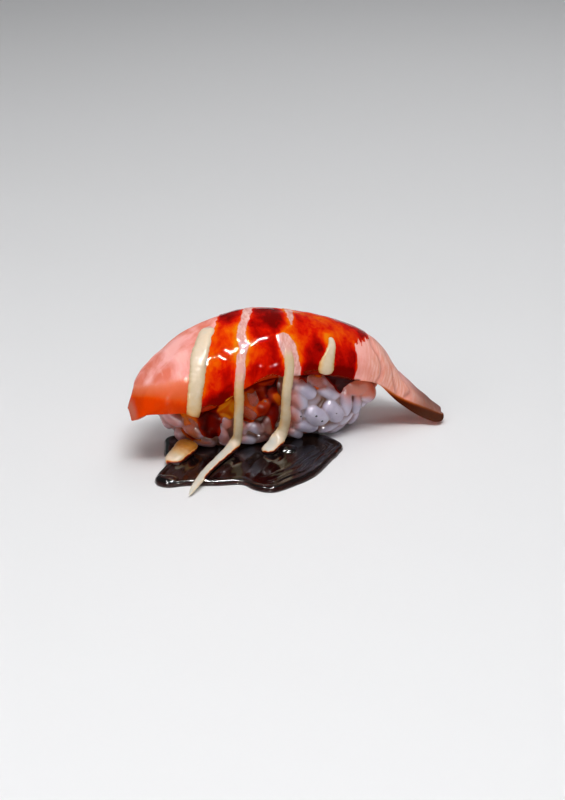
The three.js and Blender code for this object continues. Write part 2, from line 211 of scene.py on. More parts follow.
def lay_front_grains():
    """The whole grains that lie open at the front, each pressed to the block at its own height."""
    grains = []
    for x, height, lean, half_length, half_width, proud in front_grains:
        along = (x - rice_centre_x) / rice_half_length
        angles = np.linspace(np.pi / 2, 3 * np.pi / 2, 361)
        angle = angles[np.argmin(np.abs(rice_surface(along, angles)[:, 2] - height))]
        direction = (math.cos(math.radians(lean)), 0, math.sin(math.radians(lean)))
        half = np.array([half_length, open_grain_wide * half_width, open_grain_thick * half_width])
        grains.append(lay_grain(along, angle, direction, 0, proud, half))
    return grains


def scatter_grains(proud, gap, gap_to_outer, seed, outer_grains):
    """Grains lying every way over the open sides of the block, clear of others and of the salmon."""
    rng = np.random.default_rng(seed)
    grains = []
    outer = np.concatenate([grain["spine"] for grain in outer_grains])
    own = np.full((1, 3), np.inf)
    for _ in range(grain_tries):
        along = np.sin(rng.uniform(-0.5, 0.5) * np.pi * grain_reach)
        angle = rng.uniform(0, 2 * np.pi)
        half = grain_half * (1 + rng.uniform(-grain_size_spread, grain_size_spread, 3))
        grain = lay_grain(along, angle, rng.normal(size=3), rng.normal(0, grain_tilt), proud, half)
        spine = grain["spine"][:, None]
        if (np.linalg.norm(spine - outer, axis=-1).min() < gap_to_outer
                or np.linalg.norm(spine - own, axis=-1).min() < gap
                or grain["middle"][2] < lowest_grain or room_under_slice(grain["middle"]) < grain_room):
            continue
        own = np.concatenate([own, grain["spine"]])
        grains.append(grain)
    return grains


def packed_core():
    """Rings of the block's inside, pressed down where the slice lies on it."""
    stations = np.sin(np.linspace(-0.5, 0.5, core_stations) * np.pi)
    turns = np.linspace(0, 2 * np.pi, core_turns, endpoint=False)
    rings = rice_surface(stations[:, None], turns[None, :], margin=-core_inset)
    rings[..., 2] = np.maximum(rings[..., 2], 0.0)
    for point in rings.reshape(-1, 3):
        hit = salmon_solid.ray_cast(Vector((point[0], point[1], core_below_slice)) * MM, up)[0]
        if hit is not None:
            point[2] = min(point[2], max(hit.z / MM - core_below_slice, core_below_slice))
    return rings


def unit_ball(subdivisions):
    """Points and faces of a ball of radius 1."""
    ball = bmesh.new()
    bmesh.ops.create_icosphere(ball, subdivisions=subdivisions, radius=1)
    points = np.array([v.co for v in ball.verts])
    faces = np.array([[v.index for v in f.verts] for f in ball.faces])
    ball.free()
    return points, faces


def repeated_faces(faces, point_count, copies, first=0):
    """Faces of copies of one shape in one mesh. The points of the copies follow each other."""
    return [face for copy in range(copies) for face in (faces + first + copy * point_count).tolist()]


core_points, core_faces = packed_core().reshape(-1, 3), loft_faces(core_stations, core_turns)
unit_grain, grain_faces = unit_ball(3)
grains = lay_front_grains()
for layer in grain_layers:
    grains += scatter_grains(outer_grains=grains, **layer)
shape_rng = np.random.default_rng(3)
skins = [grain_points(unit_grain, grain, shape_rng) for grain in grains]
skin_faces = repeated_faces(grain_faces, len(unit_grain), len(grains), first=len(core_points))
rice = make_piece("rice_block", np.concatenate([core_points] + skins), core_faces + skin_faces)
face_outward(rice)
starch = rice.modifiers.new("starch", "REMESH")
starch.mode, starch.voxel_size = "VOXEL", starch_size * MM
melt = rice.modifiers.new("melt", "SMOOTH")
melt.factor, melt.iterations = 0.5, melt_passes
rice.data = bpy.data.meshes.new_from_object(rice.evaluated_get(bpy.context.evaluated_depsgraph_get()))
rice.modifiers.clear()
rice.data.shade_smooth()


def points_of(piece):
    """A piece's points in mm."""
    points = np.empty(3 * len(piece.data.vertices), np.float32)
    piece.data.vertices.foreach_get("co", points)
    return points.reshape(-1, 3) / MM


def ripple(points, scale, seed=0.0):
    """Soft noise from -1 to 1 at each point."""
    points = np.asarray(points)
    values = [noise.noise(Vector(p)) for p in points.reshape(-1, 3) * scale + seed]
    return np.array(values).reshape(points.shape[:-1])


def smooth(value, low, high):
    """0 below low, 1 above high, smooth between."""
    share = np.clip((value - low) / (high - low), 0, 1)
    return share * share * (3 - 2 * share)


def gap_to_faces(tree, points):
    """Distance in mm from each point to the nearest face."""
    return np.array([tree.find_nearest(Vector(p) * MM)[3] for p in points]) / MM


def point_tree(points):
    """Points, ready to be searched for the nearest to a place."""
    tree = KDTree(len(points))
    for number, point in enumerate(points):
        tree.insert(point, number)
    tree.balance()
    return tree


rice_points = points_of(rice)
rice_points[:, 2] = np.maximum(rice_points[:, 2], board_skin)
rice.data.vertices.foreach_set("co", (rice_points * MM).ravel())

# Which grain each point belongs to, how near it is to where it meets the next grain, for painted
# shade along those seams, and how deep it lies between grains.
neighbours = 14
grain_tree = point_tree(np.concatenate([grain["spine"] for grain in grains]))
nearby = np.array([[found[1] for found in grain_tree.find_n(p, neighbours)] for p in rice_points])
nearby = nearby // spine_points
middles, turns, halves = (np.array([grain[key] for grain in grains]) for key in ("middle", "turn", "half"))
own_units = np.einsum("vnj,vnjk->vnk", rice_points[:, None] - middles[nearby], turns[nearby])
outwards = np.linalg.norm(own_units / halves[nearby], axis=-1)
nearest = nearby[np.arange(len(nearby)), outwards.argmin(1)]
second = np.where(nearby == nearest[:, None], np.inf, outwards).min(1)
seam = 1 - smooth(second - outwards.min(1), 0.03, 0.3)
tone = np.random.default_rng(5).uniform(0, 1, len(grains))[nearest]
core_tree = BVHTree.FromPolygons((core_points * MM).tolist(), core_faces)
crevice = 1 - smooth(gap_to_faces(core_tree, rice_points), 0.5, 1.9)

# Glaze has soaked into the rice near the slice and at both ends, and dark sauce between the lines of
# mayonnaise and at the foot.
x, y, z = rice_points.T
patchy = 0.5 + 0.5 * ripple(rice_points, 0.28)
near_slice = (1 - smooth(gap_to_faces(salmon_solid, rice_points), 0.3, 5.5)) * (0.55 + 0.8 * patchy)
tail_side = smooth(x, 9, 20) * smooth(z, 4, 14) * (0.7 + 0.8 * patchy)
thick_end = smooth(-x, 13, 24) * (0.35 + 0.5 * patchy)
between_lines = smooth(x, -12, -9) * smooth(-x, 0, 2) * smooth(z, 2, 9) * smooth(-y, 5, 8)
beside_third = smooth(x, -8.5, -5.5) * smooth(-x, -0.5, 1) * smooth(-z, -10, -7) * smooth(-y, 4, 7)
below_thick_end = smooth(-x, 12, 16) * smooth(-z, -9, -4)
at_foot = smooth(-z, -2.4, -0.8) * smooth(-y, 0, 4)
sauced = (between_lines * (0.3 + 0.5 * patchy + 0.3 * crevice) + beside_third * (0.5 + 0.5 * patchy)
          + below_thick_end * (0.25 + 0.35 * patchy) + at_foot * (0.4 + 0.6 * crevice))
store(rice, {"tone": tone, "crevice": crevice, "seam": seam, "sauced": sauced,
             "stain": np.clip(near_slice + thick_end + tail_side, 0, 1)})


class Wire:
    """A socket in a material's node tree. Arithmetic on it adds Math nodes to that tree."""

    def __init__(self, tree, socket=None):
        self.tree = tree
        self.socket = socket

    def node(self, kind, settings=None, inputs=None, output=0):
        """A new node of a kind, with its settings first and then its sockets' values or links."""
        made = self.tree.nodes.new(kind)
        for name, value in (settings or {}).items():
            if name == "stops":
                ramp = made.color_ramp
                ramp.elements[0].position, ramp.elements[0].color = value[0]
                ramp.elements[1].position, ramp.elements[1].color = value[-1]
                for position, colour in value[1:-1]:
                    ramp.elements.new(position).color = colour
            else:
                setattr(made, name, value)
        for name, value in (inputs or {}).items():
            if isinstance(value, Wire):
                self.tree.links.new(value.socket, made.inputs[name])
            else:
                made.inputs[name].default_value = value
        return Wire(self.tree, made.outputs[output])

    def math(self, operation, *values):
        """A Math node on these values."""
        return self.node("ShaderNodeMath", {"operation": operation}, dict(enumerate(values)))

    def __add__(self, other):
        return self.math("ADD", self, other)

    def __sub__(self, other):
        return self.math("SUBTRACT", self, other)

    def __rsub__(self, other):
        return self.math("SUBTRACT", other, self)

    def __mul__(self, other):
        return self.math("MULTIPLY", self, other)

    __radd__ = __add__
    __rmul__ = __mul__

    def rise(self, low, high):
        """0 below low, 1 above high, smooth between."""
        return self.node("ShaderNodeMapRange", {"interpolation_type": "SMOOTHSTEP"},
                         {"Value": self, "From Min": low, "From Max": high})

    def place(self):
        """Where on the piece the surface is, in metres."""
        return self.node("ShaderNodeTexCoord", output="Object")

    def attribute(self, name, output="Fac"):
        """What was stored at the piece's points."""
        return self.node("ShaderNodeAttribute", {"attribute_name": name}, output=output)

    def stretch(self, x, y, z):
        """A position scaled along each axis."""
        return self.node("ShaderNodeVectorMath", {"operation": "MULTIPLY"}, {0: self, 1: (x, y, z)})

    def cloud(self, scale=1.0, detail=3.0, roughness=0.5, distortion=0.0):
        """Fractal noise from 0 to 1 at this position."""
        return self.node("ShaderNodeTexNoise", None,
                         {"Vector": self, "Scale": scale, "Detail": detail, "Roughness": roughness,
                          "Distortion": distortion})

    def part(self, index):
        """The x, y or z of a vector."""
        return self.node("ShaderNodeSeparateXYZ", None, {0: self}, output=index)

    def blend(self, first, second):
        """Colour first where this is 0 and colour second where it is 1."""
        return self.node("ShaderNodeMix", {"data_type": "RGBA"}, {0: self, 6: first, 7: second}, output=2)

    def ramp(self, stops):
        """The colour at this place along stops, each a position and a display colour."""
        stops = [(position, paint(*colour)) for position, *colour in stops]
        return self.node("ShaderNodeValToRGB", {"stops": stops}, {0: self})

    def bump(self, strength, distance):
        """A normal tilted as if this were relief, its distance in metres."""
        return self.node("ShaderNodeBump", None,
                         {"Height": self, "Strength": strength, "Distance": distance})


def start_material(name):
    """A material with only a Principled shader, as its start wire and that shader."""
    material = bpy.data.materials.new(name)
    material.use_nodes = True
    shader = material.node_tree.nodes["Principled BSDF"]
    return material, Wire(material.node_tree), shader


def set_shader(material, shader, **sockets):
    """Numbers and colours go on the shader's own sockets, and wires are linked to them."""
    for label, value in sockets.items():
        name = label.replace("_", " ")
        if isinstance(value, Wire):
            material.node_tree.links.new(value.socket, shader.inputs[name])
        else:
            shader.inputs[name].default_value = value


def paint(red, green, blue):
    """A display colour, 0 to 255 each, as a shader colour."""
    shares = (red / 255, green / 255, blue / 255)
    return tuple(s / 12.92 if s <= 0.04045 else ((s + 0.055) / 1.055) ** 2.4 for s in shares) + (1.0,)


def rice_material():
    """Wet, milky grains with painted shade along the seams where they meet, browner deep between them,
    pink where glaze and brown where sauce soaked in.
    """
    material, start, shader = start_material("cooked_rice")
    place = start.place()
    milky = place.cloud(240, detail=4)
    chalky = place.cloud(700, detail=2)
    pale = milky.rise(0.35, 0.7) * 0.5 + start.attribute("tone") * 0.5
    body = pale.blend(paint(164, 155, 175), paint(200, 192, 208))
    # Painted shade: darker lines where the grains meet.
    body = (start.attribute("seam") * 0.4).blend(body, paint(150, 120, 112))
    body = (start.attribute("crevice") * 0.85).blend(body, paint(142, 92, 58))
    tint = (start.attribute("stain") + (milky - 0.5) * 0.5).rise(0.15, 0.95)
    body = tint.blend(body, paint(196, 106, 80))
    brown = (start.attribute("sauced") + (milky - 0.5) * 0.6).rise(0.25, 0.9)
    body = (brown * 0.85).blend(body, paint(112, 52, 30))
    set_shader(material, shader, Base_Color=body, Roughness=0.24 + milky * 0.16,
               Subsurface_Weight=0.9, Subsurface_Radius=(1.0, 0.85, 0.8), Subsurface_Scale=0.0012,
               Coat_Weight=1.0, Coat_Roughness=0.12, IOR=1.36, Specular_IOR_Level=0.2,
               Normal=(milky * 0.4 + chalky * 0.6).bump(0.5, 0.0004))
    return material


rice.data.materials.clear()
rice.data.materials.append(rice_material())
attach(rice, "root")
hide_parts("rice")


# ------------------------------------------------------------------------------- salmon slice
# One slice of raw salmon, cut on the slant about 5 mm thick and 77 mm long, draped over the rice
# so that its thin tail reaches the board. Its cut side shows along the lower edge. The top is
# brushed with a red-orange glaze between the thick end and the neck of the tail.

# Lines from the thick end to the tail's tip, in mm: over the crest, and along both lower edges.
crest_rail = [
    (-35.0, -1.5, 11.2), (-32.6, -1.0, 15.9), (-26.6, 0.0, 21.5), (-18.0, 0.0, 27.3),
    (-5.0, 0.0, 30.3), (8.0, 0.0, 28.1), (19.0, 0.0, 24.3), (26.5, 0.0, 19.4),
    (31.5, -0.8, 12.1), (37.0, -2.2, 6.4), (41.2, -4.8, 2.5)]
front_rail = [
    (-36.2, -9.8, 10.9), (-33.6, -11.9, 13.2), (-26.5, -12.5, 12.9), (-18.5, -12.8, 13.0),
    (-7.0, -12.9, 18.3), (6.0, -12.6, 18.2), (16.0, -11.6, 15.3), (23.0, -9.6, 12.6),
    (28.5, -8.4, 7.0), (34.5, -8.4, 2.4), (39.6, -10.3, 0.4)]
back_rail = [
    (-30.0, 5.6, 10.4), (-28.4, 8.8, 11.8), (-23.8, 10.6, 13.8), (-15.0, 12.0, 18.0),
    (-2.0, 12.2, 20.6), (8.0, 12.0, 20.4), (18.0, 11.2, 18.0), (25.5, 8.6, 14.5),
    (31.0, 5.4, 9.0), (36.4, 2.6, 4.4), (40.8, -1.8, 1.6)]
slice_thickness, tail_thickness = 5.0, 2.6
edge_share, edge_round, end_round, tip_round = 0.2, 0.27, 0.2, 0.05
straight_end, square_from, square_to = 0.15, 0.12, 0.36
corner_round, corner_width, tip_width, thick_end_squareness = 0.07, 0.8, 0.6, 0.84
tail_from, tail_to = 0.62, 0.86
slice_stations, outer_columns, inner_columns = 400, 180, 60


def mix(first, second, share):
    """From first at share 0 to second at share 1."""
    return first + (second - first) * share


def spline_point(points, share):
    """A point on the smooth curve through evenly spaced points, share 0 to 1 from end to end."""
    points = np.asarray(points, float)
    padded = np.vstack([2 * points[0] - points[1], points, 2 * points[-1] - points[-2]])
    spot = np.clip(share, 0, 1) * (len(points) - 1)
    index = np.minimum(spot.astype(int), len(points) - 2)
    t = (spot - index)[..., None]
    before, start, end, after = (padded[index + k] for k in range(4))
    leave, arrive = (end - before) / 2, (after - start) / 2
    return ((2 * start - 2 * end + leave + arrive) * t ** 3
            + (3 * end - 3 * start - 2 * leave - arrive) * t ** 2 + leave * t + start)


def round_off(distance, length):
    """0 at an edge, rising in a quarter circle to 1 at a length in from it."""
    share = np.clip(distance / length, 0, 1)
    return np.sqrt(1 - (1 - share) ** 2)


def slice_surface(along, across):
    """Upper surface in mm: along is 0 to 1 to the tail's tip, across -1 front edge to 1 back edge."""
    along, across = np.broadcast_arrays(np.asarray(along, float), np.asarray(across, float))
    top = spline_point(crest_rail, along)
    edge = np.where((across < 0)[..., None], spline_point(front_rail, along),
                    spline_point(back_rail, along))
    width = mix(corner_width, 1, round_off(along, corner_round))
    width = width * mix(tip_width, 1, round_off(1 - along, tip_round))
    reach = (edge - top) * width[..., None]
    power = mix(thick_end_squareness, 1, smooth(along, square_from, square_to))
    turn = np.minimum(np.abs(across), 1) * np.pi / 2
    lean = mix(np.sin(turn), np.abs(across) ** 1.5, smooth(along, 0, straight_end))
    shares = [lean, np.sin(turn) ** power, 1 - np.maximum(np.cos(turn), 0) ** power]
    return top + reach * np.stack(shares, -1)


def slice_normal(along, across):
    """The direction that faces out of the slice's upper surface there."""
    step = 0.004
    return facing(slice_surface, along, np.clip(across, -1 + step, 1 - step), step)


def slice_depth(along, across):
    """Thickness in mm."""
    full = mix(slice_thickness, tail_thickness, smooth(along, tail_from, tail_to))
    ends = smooth(along, 0, end_round) * round_off(1 - along, tip_round)
    return full * mix(edge_share, 1, round_off(1 - np.abs(across), edge_round) * ends)


# The sheet is the upper surface laid out flat: mm from the thick end, and mm across from the crest.
along = np.linspace(0, 1, slice_stations)[:, None]
across = np.linspace(-1, 1, outer_columns)[None, :]
outer = slice_surface(along, across)
crest_steps = np.linalg.norm(np.diff(spline_point(crest_rail, along[:, 0]), axis=0), axis=1)
station_mm = np.concatenate([[0], np.cumsum(crest_steps)])
girth_mm = np.cumsum(np.linalg.norm(np.diff(outer, axis=1, prepend=outer[:, :1]), axis=2), axis=1)
girth_mm -= girth_mm[:, [outer_columns // 2]]


def mm_along(share):
    """How far a share of the slice's length is from its thick end, in mm along the crest."""
    return np.interp(share, along[:, 0], station_mm)


sheet = np.stack(np.broadcast_arrays(mm_along(along), girth_mm, 0.0), -1)
wander = ripple(sheet, 0.5, 3.0) + 0.5 * ripple(sheet, 1.3, 5.0)  # for uneven brushed edges

# Paths over the slice are pairs of the share across, from the front edge at -1 over the crest at 0
# to the back edge at 1, and the share of the length where the thing lies there.
glaze_start = [(-1, 0.264), (-0.84, 0.268), (-0.72, 0.275), (-0.61, 0.284), (-0.4, 0.294),
               (-0.27, 0.309), (-0.17, 0.328), (0.2, 0.35), (0.6, 0.355), (1, 0.36)]
glaze_end = [(-1, 0.604), (-0.85, 0.606), (-0.6, 0.603), (-0.48, 0.598), (-0.4, 0.6),
             (-0.34, 0.625), (-0.2, 0.65), (-0.1, 0.66), (0.3, 0.67), (1, 0.64)]
first_line = [(-1, 0.253), (-0.8, 0.259), (-0.6, 0.272), (-0.38, 0.286), (-0.18, 0.306),
              (-0.06, 0.3215)]
second_smear = [(-1, 0.359), (-0.77, 0.3595), (-0.65, 0.364), (-0.52, 0.3705), (-0.36, 0.3695),
                (-0.23, 0.378), (0, 0.395), (0.3, 0.41)]
third_smear = [(-1, 0.466), (-0.87, 0.461), (-0.75, 0.454), (-0.6, 0.4475), (-0.45, 0.4425),
               (-0.4, 0.445), (-0.29, 0.4635), (-0.16, 0.466), (0.15, 0.476), (0.4, 0.482)]
third_width = [(-1, 0.9), (-0.87, 1.3), (-0.75, 1.8), (-0.6, 2.1), (-0.45, 1.4), (-0.4, -0.6),
               (-0.35, -0.4), (-0.29, 0.15), (-0.16, 0.6), (0.15, 1.1), (0.35, 1.2), (0.5, -0.5)]
fourth_line = [(-1, 0.523), (-0.95, 0.525), (-0.7, 0.53), (-0.57, 0.534), (-0.38, 0.536)]


def along_path(path, share_across):
    """The value that a path has at a share across the slice."""
    across_shares, values = zip(*path)
    return np.interp(share_across, across_shares, values)


def gap_to(path, half_width):
    """Distance in mm from each point of the slice to a band that follows a path, less than 0 inside."""
    return np.abs(sheet[..., 0] - mm_along(along_path(path, across))) - half_width


# How far each point lies inside the glazed part, and how far it is from the lines on it, in mm.
jag = 0.13 * ripple(sheet * [1.9, 0.2, 1], 1.0, 7.0) * smooth(-across, -0.1, 0.2)
inside = np.minimum(sheet[..., 0] - mm_along(along_path(glaze_start, across)) + 0.5 * wander,
                    mm_along(along_path(glaze_end, across + jag)) - sheet[..., 0] + 0.25 * wander)
second_gap = gap_to(second_smear, 1.15) + 0.3 * wander
third_gap = gap_to(third_smear, along_path(third_width, across)) + 0.35 * wander
smear_gap = np.minimum(second_gap, third_gap)
fourth_gap = np.hypot(np.maximum(gap_to(fourth_line, 0.9), 0), np.maximum(across + 0.38, 0) * 19)
first_gap = gap_to(first_line, 1.45)
line_gap = np.minimum(np.minimum(smear_gap, fourth_gap + 0.4 * wander), first_gap + 0.3 * wander)


def hill(distance, width):
    """1 at no distance, falling smoothly towards 0 past a width."""
    return np.exp(-(distance / width) ** 2)


def near_spot(share_along, share_across, spread):
    """1 at a spot of the slice, falling smoothly towards 0 round it. Its spread is in square mm."""
    row = int(round(share_along * (slice_stations - 1)))
    column = int(round((share_across + 1) / 2 * (outer_columns - 1)))
    return np.exp(-((sheet - sheet[row, column]) ** 2).sum(-1) / spread)


# How thick the glaze lies there, from thin and orange at 0 to pooled and dark red at 1.
spot_spread = 2.6 ** 2
glaze_spots = [  # share along, share across, thickness
    (0.362, 0.01, 0.85), (0.335, -0.17, 0.3), (0.348, -0.395, 0.3), (0.326, -0.525, 0.3),
    (0.331, -0.755, 0.6), (0.295, -0.795, 0.35), (0.343, -0.845, 0.8), (0.309, -0.97, 0.7),
    (0.345, 0.5, 0.6), (0.422, -0.1, 0.95), (0.409, -0.57, 0.7), (0.384, -0.635, 0.25),
    (0.379, -0.875, 0.75), (0.415, -0.88, 0.75), (0.389, -1.0, 0.45), (0.42, 0.5, 0.6),
    (0.521, -0.075, 0.35), (0.486, -0.22, 0.6), (0.473, -0.515, 0.35), (0.5, -0.645, 0.85),
    (0.469, -0.895, 0.4), (0.494, -0.955, 0.8), (0.524, -0.31, 0.5), (0.51, 0.5, 0.5),
    (0.614, 0.11, 0.85), (0.598, -0.225, 0.4), (0.557, -0.515, 0.6), (0.561, -0.735, 0.75),
    (0.595, -0.83, 0.9), (0.642, -0.185, 0.95), (0.565, -0.94, 0.9), (0.61, 0.5, 0.5),
    (0.4, 0.95, 0.7), (0.5, 0.95, 0.6), (0.6, 0.95, 0.7)]
weights, weighted = 1e-9, 0.0
for share_along, share_across, amount in glaze_spots:
    weight = near_spot(share_along, share_across, spot_spread)
    weights, weighted = weights + weight, weighted + weight * amount
blotches = np.array([noise.fractal(Vector(p), 0.7, 2.1, 5) for p in
                     (sheet * [0.3, 0.2, 1] + [0, 0, 4]).reshape(-1, 3)]).reshape(sheet.shape[:-1])
thickness = weighted / weights + 0.22 * blotches
edge_pool = np.interp(along, [0.2, 0.27, 0.33, 0.37, 0.44, 0.47, 0.6, 0.62],
                      [0, 0.5, 0.55, 0.05, 0.15, 0.6, 0.6, 0.3])
thickness = thickness + edge_pool * smooth(-across, 0.78, 0.97)
thickness = thickness - 0.5 * np.exp(-np.maximum(line_gap, 0) / 0.8)
thickness = np.clip(thickness, 0.0, 1.2) * (0.35 + 0.65 * smooth(inside, 0, 1.2))
film = smooth(inside, -0.1, 0.35)

# Creases of the neck and the tail, where the slice folds as it comes down off the rice, as the share
# of its length and the share across.
creases = [
    [(0.662, -0.11), (0.662, -0.34), (0.682, -0.485), (0.696, -0.64), (0.7, -0.83), (0.694, -0.985)],
    [(0.728, -0.14), (0.733, -0.335), (0.751, -0.485), (0.759, -0.655), (0.784, -0.835)],
    [(0.8, 0.1), (0.81, -0.235), (0.835, -0.335), (0.84, -0.525), (0.821, -0.76)]]
crease_depth, crease_width, crease_points, creases_from = 0.3, 0.55, 60, 0.6
fold_depth, fold_across, fold_width = 0.45, -0.25, 0.22
film_lift, smear_lift, swell, edge_hold = 0.12, 0.18, 0.12, 0.04
nick_place, nick_spread = (0.193, -0.52), 6.0


def crease_field(path):
    """1 along a crease, falling to 0 beside it and past its ends."""
    shares = np.linspace(0, 1, crease_points)
    tree = point_tree([slice_surface(*spline_point(path, share)) for share in shares])
    gap = np.full(outer.shape[:2], np.inf)
    for row in range(int(creases_from * slice_stations), slice_stations):
        gap[row] = [tree.find(point)[2] for point in outer[row]]
    return hill(gap, crease_width)


# How far glaze, smears and the flesh's own swells stand out, and its creases go in, in mm.
folded = sum(crease_field(path) for path in creases)
fold = hill(across - fold_across, fold_width) * smooth(along, tail_from, tail_to)
smeared = smooth(-smear_gap, -0.2, 0.3) * film
nick = near_spot(*nick_place, nick_spread)
wavelets = (0.14 * ripple(sheet, 0.35) + 0.008 * ripple(sheet, 1.6, 9.0)
            + (0.04 * smeared + 0.03 * nick) * ripple(sheet, 2.8, 2.0))
lift = (film_lift * film + smear_lift * smeared + swell * ripple(sheet, 0.2) + wavelets
        + 0.02 * film * blotches - crease_depth * folded - fold_depth * fold)
lift = lift * round_off(1 - np.abs(across), edge_hold)
outer = outer + slice_normal(along, across) * lift[..., None]
outer[..., 2] = np.maximum(outer[..., 2], 0.3)
across_inner = np.linspace(1, -1, inner_columns)[None, :]
inner = (slice_surface(along, across_inner)
         - slice_normal(along, across_inner) * slice_depth(along, across_inner)[..., None])
own_edge = slice_surface(along, np.where(across_inner < 0, -1, 1))
inner[..., 2] = np.maximum(inner[..., 2], own_edge[..., 2])


def with_inner(values, fill):
    """Values of the outer surface, followed in each ring by a fill value for the underside."""
    values = np.broadcast_to(values, (slice_stations, outer_columns))
    return np.concatenate([values, np.full((slice_stations, inner_columns), fill)], 1)


# Where the cut side begins, as the share of the length and the share across: high at the thick end,
# under the front edge at the middle, and higher again along the tail.
front_side = [(0, 0.3), (0.05, 0.08), (0.09, -0.24), (0.13, -0.51), (0.155, -0.66), (0.18, -0.77),
              (0.24, -0.9), (0.34, -0.93), (0.5, -0.97), (0.7, -1.02), (0.76, -0.93), (0.86, -0.74),
              (0.93, -0.6), (1, -0.5)]
side_start = np.interp(along, *zip(*front_side))
side_gap = np.maximum(side_start - across, across - 0.86)
side_fade = mix(-0.5, -0.05, smooth(along, 0.25, 0.6))
lip = smooth(-across, 0.7, 0.88) * smooth(along, 0.2, 0.3)
under = slice_surface(along, across_inner) * [0.6, 0.6, 0] + [0, 0, 9]
salmon = make_piece("salmon_slice", np.concatenate([outer, inner], 1),
                    loft_faces(slice_stations, outer_columns + inner_columns),
                    {"sheet": np.concatenate([sheet, under], 1), "lip": with_inner(lip, 1.0),
                     "side": with_inner(smooth(side_gap, side_fade, 0.1), 0.5)})
on_top = {"film": film, "thickness": thickness, "smear": smeared, "crease": folded}
store(salmon, {label: with_inner(values, 0.0) for label, values in on_top.items()})
face_outward(salmon)


def salmon_material():
    """Marbled flesh with its darker cut side, under the film of glaze and the pink smears on it. It has
    painted shade in the creases, round the thick end, on the tail's cut side and at the tail's tip.
    """
    material, start, shader = start_material("raw_salmon")
    sheet = start.attribute("sheet", "Vector")
    toward_tip, toward_back = sheet.part(0), sheet.part(1)
    tail = toward_tip.rise(60, 72)
    veil = sheet.stretch(0.09, 0.13, 1).cloud(detail=4, roughness=0.5, distortion=0.6)
    fat = sheet.stretch(0.35, 0.12, 1).cloud(detail=4, roughness=0.55, distortion=0.3)
    fibre = sheet.stretch(1.5, 0.25, 1).cloud(detail=4, roughness=0.6)
    slant = sheet.stretch(0.55, 0.55, 1).cloud(1.2, detail=5, roughness=0.6) - 0.5
    cut_side = start.attribute("side")
    speckle = sheet.cloud(1.3, detail=4, roughness=0.6)
    flesh = veil.rise(0.36, 0.64).blend(paint(218, 114, 92), paint(242, 172, 166))
    flesh = (fat.rise(0.5, 0.75) * 0.5).blend(flesh, paint(246, 192, 184))
    pale_tail = fibre.rise(0.35, 0.7).blend(paint(228, 152, 132), paint(240, 186, 172))
    pale_tail = speckle.rise(0.64, 0.72).blend(pale_tail, paint(222, 140, 84))
    flesh = tail.blend(flesh, pale_tail)
    # Painted shade: the flesh darkens in the creases of the neck and tail.
    flesh = (start.attribute("crease") * 0.5).blend(flesh, paint(190, 110, 100))
    side = (cut_side + slant * 0.12).ramp([
        (0.0, 230, 136, 110), (0.4, 216, 106, 72), (0.84, 208, 84, 36),
        (0.94, 210, 66, 6), (1.0, 204, 54, 0)])
    # Along the tail the cut side is orange-brown flesh, and its darkest browns are painted shade.
    tail_side = (cut_side + slant * 0.3).ramp([
        (0.0, 222, 150, 120), (0.4, 196, 96, 40), (0.7, 128, 42, 6),
        (1.0, 64, 22, 6)])
    side = tail.blend(side, tail_side)
    flesh = (cut_side + slant * 0.2).rise(0.02, 0.3).blend(flesh, side)
    lilac = (toward_back + slant * 6).rise(-4.5, 0.5) * toward_tip.rise(64, 72)
    flesh = (lilac * 0.7).blend(flesh, paint(188, 142, 148))
    # The tail's tip darkens to brown: partly painted shade, partly the thin flesh's own darker look.
    flesh = ((toward_tip + (fibre - 0.5) * 3).rise(81, 90) * 0.75).blend(flesh, paint(74, 42, 30))

    tide = sheet.stretch(0.42, 0.26, 1).cloud(detail=6, roughness=0.62, distortion=1.4)
    uneven = (speckle - 0.5) * 0.18 + slant * 0.1 + (tide.rise(0.4, 0.6) - 0.5) * 0.12
    # Painted shade: a darker brown band round the rounded edge of the thick end.
    rim = (1 - toward_tip.rise(1.2, 3.2)) * 0.6
    flesh = rim.blend(flesh, paint(176, 104, 80))
    glaze = (start.attribute("thickness") + uneven).ramp([
        (0.0, 222, 118, 10), (0.14, 224, 90, 0), (0.34, 218, 58, 0),
        (0.55, 202, 18, 0), (0.78, 158, 4, 0), (1.0, 108, 2, 0)])
    film = (start.attribute("film") + (speckle - 0.5) * 0.6).rise(0.3, 0.7)
    colour = film.blend(flesh, glaze)
    smear = (start.attribute("smear") + (speckle - 0.5) * 0.7).rise(0.25, 0.8)
    stringy = sheet.stretch(1.2, 0.5, 1).cloud(detail=4, roughness=0.6)
    pink = stringy.rise(0.3, 0.7).blend(paint(206, 138, 130), paint(230, 186, 176))
    colour = smear.blend(colour, pink)

    wet = (sheet.cloud(2.4, detail=5, roughness=0.65) * 0.5 + fibre * 0.5) * (1 - film * 0.7)
    set_shader(material, shader, Base_Color=colour, Roughness=0.3,
               Coat_Weight=(0.2 + film * 0.4) * (1 - start.attribute("lip") * 0.9),
               Coat_Roughness=0.02, Coat_IOR=1.3, IOR=1.4, Specular_IOR_Level=0.0,
               Subsurface_Weight=0.25, Subsurface_Radius=(1.0, 0.35, 0.2), Subsurface_Scale=0.0015,
               Normal=wet.bump(0.3, 0.0004))
    return material


salmon.data.materials.append(salmon_material())
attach(salmon, "root")
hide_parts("salmon")


# ------------------------------------------------------------------------------- glaze runs
# Where the brush left too much, the glaze has run off the slice's front edge and down the rice. It
# fills the hollows between the grains, where it looks almost black, and is thin and amber on them.

